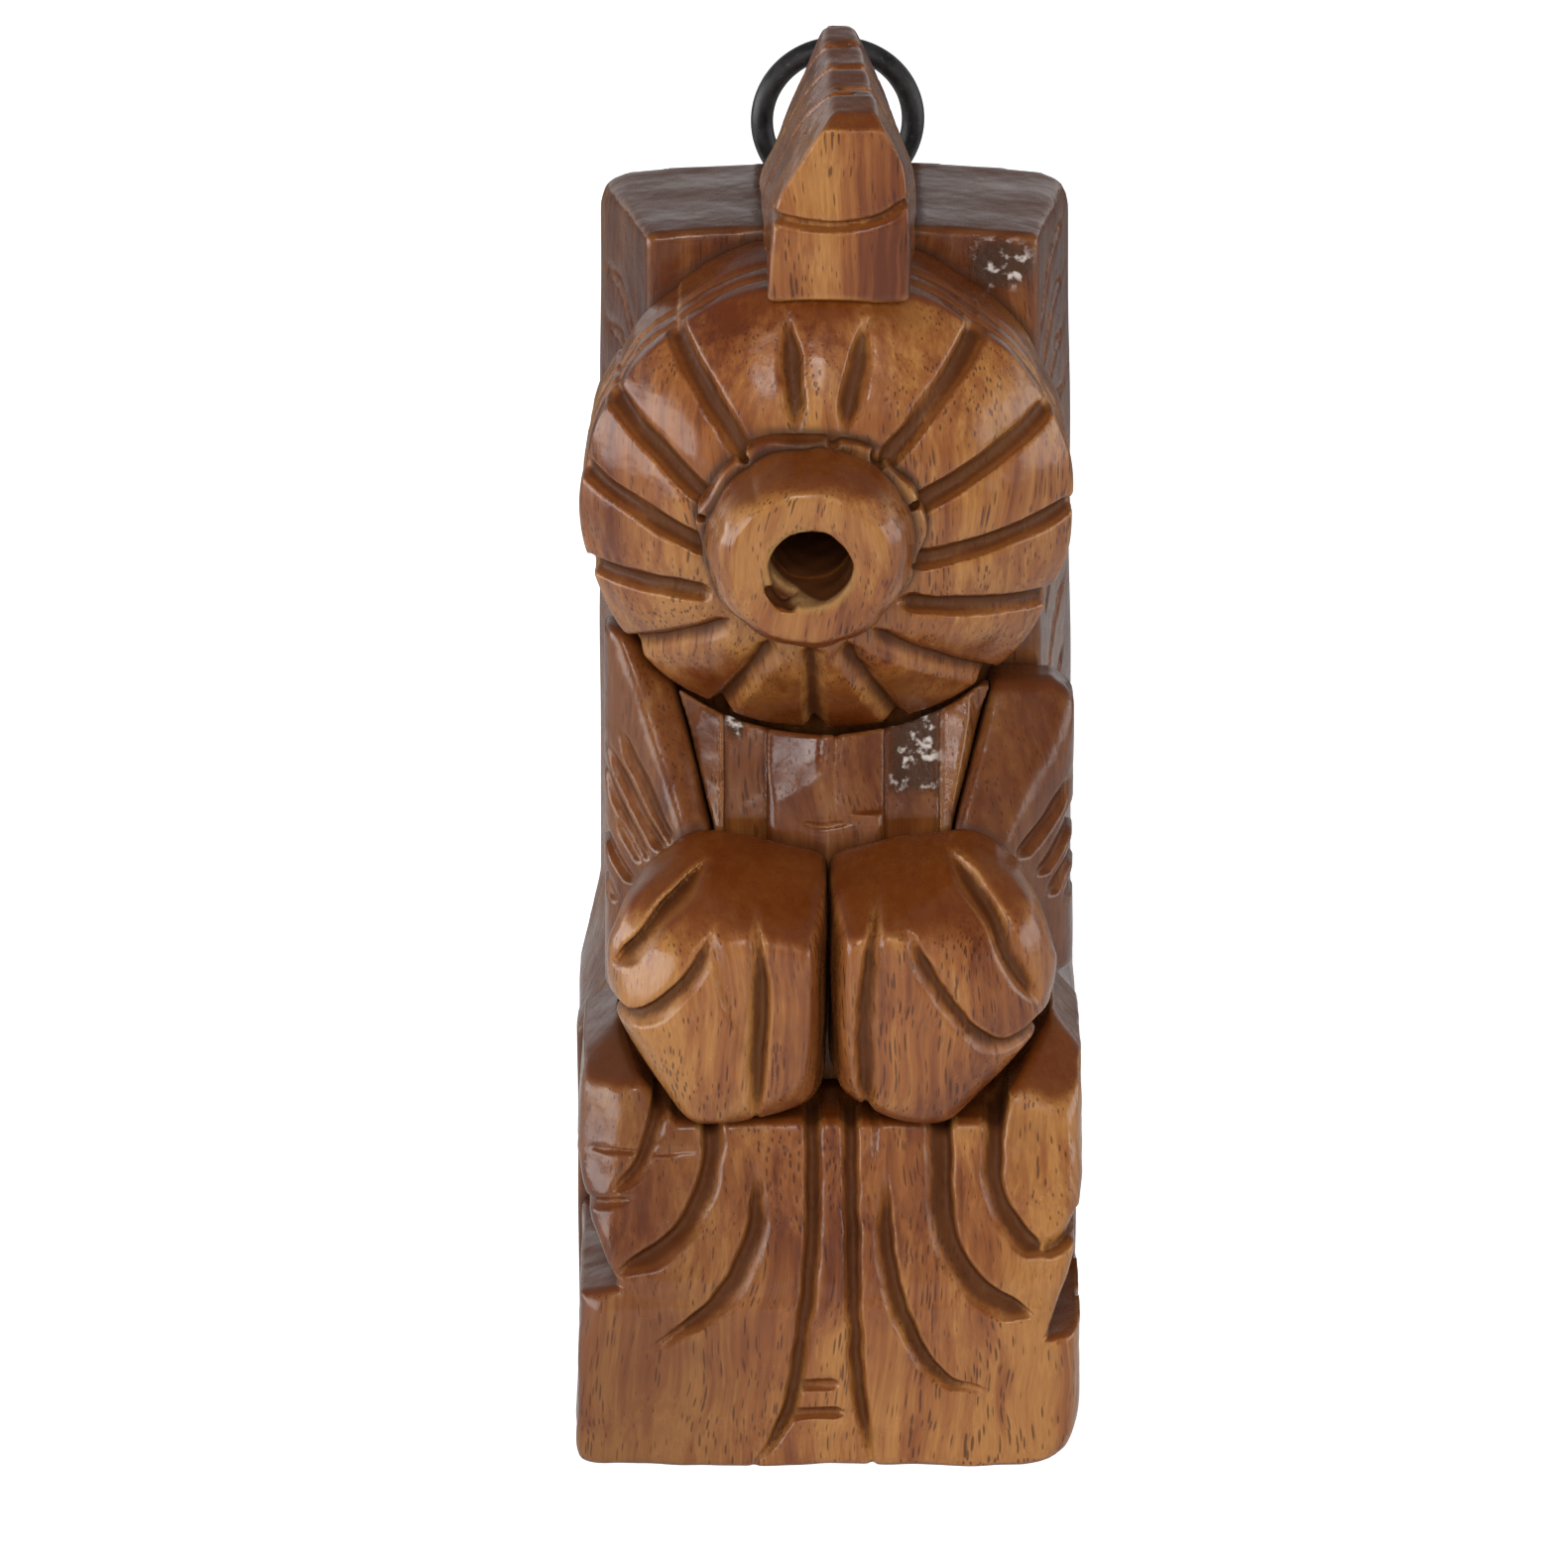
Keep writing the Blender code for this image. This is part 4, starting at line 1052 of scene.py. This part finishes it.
def carve_spout():
    """A stub tube with a rounded, slightly faceted wall and a drilled hole."""
    block = block_for("spout", FINE_STEP * 0.85, 0.6)
    radius, turn, w = spout_axes(block)
    shoulder = 11.2
    end = 20.0
    tenon_radius = 7.0
    bore_radius = 4.95
    facets = 0.3 * np.abs(np.sin(5.5 * turn + 0.4)) + 0.12 * np.sin(2 * turn + 0.7)
    bulge = 1.9 * (1 - np.clip((w - shoulder) / (end - shoulder), 0.0, 1.0) ** 1.6)
    block.trim(0.95 * (radius - 10.3 - facets - bulge), 0.5)
    block.trim(w - end, 0.8)
    block.trim(0.7 * (radius - 10.2) + 0.71 * (w - end) + 0.7, 0.6)
    lip = 0.35 * ease(6.6, 5.0, radius)
    block.trim(w - end + lip, 0.8)
    tenon = np.maximum(radius - tenon_radius, w - shoulder - 1.0)
    block.trim(shoulder - w, 0.4)
    block.add(tenon, 0.1)
    block.trim(-2.5 - w, 0.4)
    block.wave(0.09, 5.0, 71)
    block.settle()
    bore = radius - bore_radius - 0.12 * ripple(block.x, block.y, block.z, 3.0, 72)
    block.remove(bore, 0.35)
    chip_turn = math.radians(228)
    chip = np.hypot(radius * np.cos(turn - chip_turn) - 5.2, radius * np.sin(turn - chip_turn) * 0.6)
    block.remove(np.maximum(chip - 1.3, 15.5 - w) + 0.25 * ripple(block.x, block.y, block.z, 2.0, 73), 0.4)
    block.bare = bare_bore
    return block


def carve_crest():
    """A wedge over the head, with a smile-shaped cut in front and chevrons along its flanks."""
    block = block_for("crest", FINE_STEP, 0.6)
    for normal, offset in hull_planes("crest"):
        block.trim_plane(normal, offset + 0.1, 0.6)
    x, y, z = block.x, block.y, block.z
    block.trim(y - 27.2, 1.0)
    block.trim_through([(0.0, -15.6, 164.2), (6.0, -15.6, 164.2), (3.0, -12.6, 167.2)], (3, 0, 155), 0.3)
    over_head = head_clearance(block)
    block.wave(0.13, 8.0, 81)
    block.settle()

    facing = ease(-9.0, -12.0, y)
    smile = [(-8.6, 155.6), (-6.0, 153.7), (0.5, 152.7), (6.0, 153.6), (9.4, 156.0)]
    block.carve((x, z), smile, 0.8, 1.0, 1.3, -0.3, (0.1, 0.1), facing)
    # Chevrons start on the flat ridge and slant back as they run down each flank.
    drop = 167.0 - z
    left_cuts = ((-8.0, 150.0), (0.8, 152.5), (8.5, 153.5), (16.0, 156.0))
    right_cuts = ((-6.5, 152.0), (1.2, 151.0), (9.5, 153.0))
    flanks = ((left_cuts, 0.72, 0.5, ease(3.6, 1.6, x)), (right_cuts, 1.0, 0.55, ease(0.4, 2.4, x)))
    for cuts, slant, width, flank in flanks:
        for ridge_y, lowest in cuts:
            line = [(ridge_y, 171.0), (ridge_y, lowest)]
            block.carve((y - slant * drop, z), line, width, 0.8, 1.3, 0.2, (0.01, 0.25), flank)
    block.remove(over_head, 0.1)
    top = node_box("back_post")[1][2] + 0.9
    post = np.maximum(z - top, 2.6 - y)
    block.remove(post, 0.1)
    block.drill("crest_dowel")
    return block


def head_clearance(block):
    """The head's space with a thin gap round it, which the crest's foot is hollowed to."""
    u, v, w = head_axes(block.x, block.y, block.z)
    gap = 0.35
    radius = np.hypot(u, v)
    dome = dome_height(radius, SEAT_HEIGHT + 0.4) + gap + 0.6
    return np.maximum(radius - RIM_RADIUS - 1.0 - gap, w - dome)


def build_wood():
    """Carves every wooden piece, then meshes it and gives it its material."""
    wood = [
        # block, shift of the grain, warmth with painted shade for pieces in shade, share of painted side
        # shade on its left and right
        (carve_post(), (0, 0, 0), 0.42, (0.5, 0.35)),
        (carve_skirt(), (31, 7, 12), 0.55, (0.5, 0.04)),
        (carve_torso(), (12, 44, 3), 0.45, (0.5, 0.5)),
        *[(arm, (23, 9 * i, 60), 0.4, (0.5, 0.65)) for i, arm in enumerate(carve_arms())],
        *[(hand, (5, 70 + 20 * i, 8), 0.56, (0.0, 0.0)) for i, hand in enumerate(carve_hands())],
        (carve_head(), (51, 3, 90), 0.52, (0.0, 0.0)),
        (carve_collar(), (60, 3, 20), 0.5, (0.1, 0.1)),
        (carve_spout(), (77, 3, 20), 0.55, (0.05, 0.05)),
        (carve_crest(), (9, 90, 31), 0.5, (0.0, 0.0)),
    ]
    blocks = [row[0] for row in wood]
    for block, shift, warmth_and_shade, stain_and_side_shade in wood:
        points, quads = surface_net(block.values, block.low, block.step)
        others = [other for other in blocks if other is not block]
        colours = carve_colours(block, points, others)
        material = varnished_wood(block.name + "_wood", shift, warmth_and_shade, stain_and_side_shade)
        bare = bare_share(block, points)
        add_piece(block.name, points, quads, material, colours=colours, bare=bare)


def build_ring():
    """The cord ring: round cord with a faint moulding line and a slightly uneven hoop."""
    low, high = node_box("hanging_ring")
    middle = (low + high) / 2
    cord = (high[1] - low[1]) / 2
    hoop = (high[2] - low[2]) / 2 - cord
    around, across = 160, 28
    a = np.linspace(0, 2 * math.pi, around, endpoint=False)[:, None]
    b = np.linspace(0, 2 * math.pi, across, endpoint=False)[None, :]
    thickness = cord * (0.985 + 0.01 * np.sin(3 * a + 1.0)) + 0.04 * np.exp(-((np.cos(b)) ** 2) / 0.01)
    reach = hoop + 0.08 * np.sin(2 * a + 0.4) + thickness * np.cos(b)
    points = np.stack([reach * np.cos(a), thickness * np.sin(b), reach * np.sin(a)], axis=2)
    points = middle + points.reshape(-1, 3)
    number = np.arange(around * across).reshape(around, across)
    ahead = np.roll(number, -1, axis=0)
    faces = np.stack([number, np.roll(number, -1, axis=1), np.roll(ahead, -1, axis=1), ahead], axis=2)
    add_piece("hanging_ring", points, faces.reshape(-1, 4), black_rubber(), body="ring")


def build_screw_eye():
    """A bent wire eye on a threaded shank."""
    low, high = node_box("screw_eye")
    block = Block("screw_eye", low - 0.2, high + 0.2, 0.14 * COARSEN)
    outer = (high[2] - low[2]) / 2
    wire = min((high[0] - low[0]) / 2, 0.8) - 0.1
    centre = np.array([(low[0] + high[0]) / 2, high[1] - outer, (low[2] + high[2]) / 2])
    x, y, z = block.x - centre[0], block.y - centre[1], block.z - centre[2]
    hoop = outer - wire
    block.values = (np.hypot(np.hypot(y, z) - hoop, x) - wire).astype(np.float32)
    root = -hoop
    angle = np.arctan2(z, x)
    pitch = 0.9
    thread = 0.1 * np.cos(2 * math.pi * y / pitch - angle) * ease(root - 2.0, root - 3.0, y)
    tip = low[1] - centre[1]
    taper = 0.8 * ease(tip + 2.5, tip, y)
    shank = np.hypot(x, z) - (wire + 0.08 + thread - taper)
    block.add(np.maximum(shank, y - root), 0.5)
    block.trim(tip - y, 0.2)
    # The wire's end stops just short of the shank.
    slit = np.maximum(np.abs(y + hoop * 0.86 - 0.1 * z) - 0.12, np.maximum(z - outer, 0.75 - z))
    block.remove(slit, 0.1)
    points, quads = surface_net(block.values, block.low, block.step)
    add_piece("screw_eye", points, quads, eye_steel())


def finish_pegs():
    """The dowels stay as the CAD has them, in bare beech."""
    beech = peg_wood()
    for name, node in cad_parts.items():
        if name.endswith("_dowel"):
            node.data.materials.clear()
            node.data.materials.append(beech)


# Stage.


def build_stage():
    """A plain pale floor that reaches far behind the figure."""
    size = 4.0
    mesh = bpy.data.meshes.new("floor")
    corners = [(-size, -size, 0), (size, -size, 0), (size, size, 0), (-size, size, 0)]
    mesh.from_pydata(corners, [], [(0, 1, 2, 3)])
    floor = bpy.data.objects.new("floor", mesh)
    bpy.context.scene.collection.objects.link(floor)
    g = new_material("pale_floor")
    point = g.place()
    speckle = g.noise(point, 0.02, 3.0)
    away = g.add("VectorMath", {0: point}, output=1, operation="LENGTH")
    near = g.span(away, 150.0, 500.0, 1.0, 0.4)
    seen = g.add("LightPath", {})
    black = (0.0, 0.0, 0.0, 1.0)
    white = (1.0, 1.0, 1.0, 1.0)
    pale = g.mix(speckle, (0.86, 0.86, 0.86, 1.0), (0.90, 0.90, 0.90, 1.0))
    colour = g.mix(seen, g.mix(near, black, pale), pale)
    glow = g.times(seen, 0.9)
    matt = {"Roughness": 0.9, "Specular_IOR_Level": 0.1}
    mesh.materials.append(g.finish(Base_Color=colour, Emission_Color=white, Emission_Strength=glow, **matt))


def add_softbox(name, place, size, radiance, mirrored=True):
    """A soft rectangular light at a place in millimetres, facing the figure's middle."""
    light = bpy.data.lights.new(name, "AREA")
    light.shape = "RECTANGLE"
    light.size = size[0] * MM
    light.size_y = size[1] * MM
    light.energy = radiance * math.pi * light.size * light.size_y
    lamp = bpy.data.objects.new(name, light)
    lamp.location = Vector(place) * MM
    aim = Vector((0, 0, 85)) - Vector(place)
    lamp.rotation_euler = aim.to_track_quat("-Z", "Y").to_euler()
    lamp.visible_glossy = mirrored
    bpy.context.scene.collection.objects.link(lamp)


def build_lights():
    """Low softboxes at the sides, a wide front one with no mirror image, and a small one for glints."""
    add_softbox("left_softbox", (-620, -120, 120), (800, 260), 3.6)
    add_softbox("right_softbox", (620, -60, 120), (600, 230), 2.2)
    add_softbox("front_softbox", (60, -1000, 600), (900, 600), 6.6, mirrored=False)
    add_softbox("glint_softbox", (-160, -930, 650), (260, 180), 7.0)


def build_world():
    """Surroundings that are bright at the horizon and dim overhead and in front, and white to the camera."""
    g = Graph(bpy.data.worlds.new("studio"))
    way = g.split("SeparateXYZ", g.add("TexCoord", {}))
    height = g.span(way[2], 0.05, 0.55, 0.85, 0.22)
    front = g.span(way[1], -0.85, -0.1, 0.55, 1.0)
    seen = g.add("LightPath", {})
    strength = g.add("Mix", {0: seen, 2: g.times(height, front), 3: 1.0})
    bpy.context.scene.world = g.finish("Background", "World", Strength=strength)


def build_camera():
    """A long lens in front, above the figure's middle."""
    camera = bpy.data.cameras.new("camera")
    camera.sensor_width = 36.0
    camera.lens = camera.sensor_width * VIEW_DISTANCE / VIEW_WIDTH
    camera.clip_end = 10.0
    eye = bpy.data.objects.new("camera", camera)
    back = Vector((0, -math.cos(VIEW_ELEVATION), math.sin(VIEW_ELEVATION)))
    eye.location = (VIEW_TARGET + VIEW_DISTANCE * back) * MM
    eye.rotation_euler = (math.pi / 2 - VIEW_ELEVATION, 0, 0)
    bpy.context.scene.collection.objects.link(eye)
    bpy.context.scene.camera = eye


def write_sizes():
    """Updates the view layer."""
    bpy.context.view_layer.update()


build_wood()
build_ring()
build_screw_eye()
finish_pegs()
build_stage()
build_lights()
build_world()
build_camera()
bpy.context.scene.view_settings.view_transform = "Standard"
write_sizes()
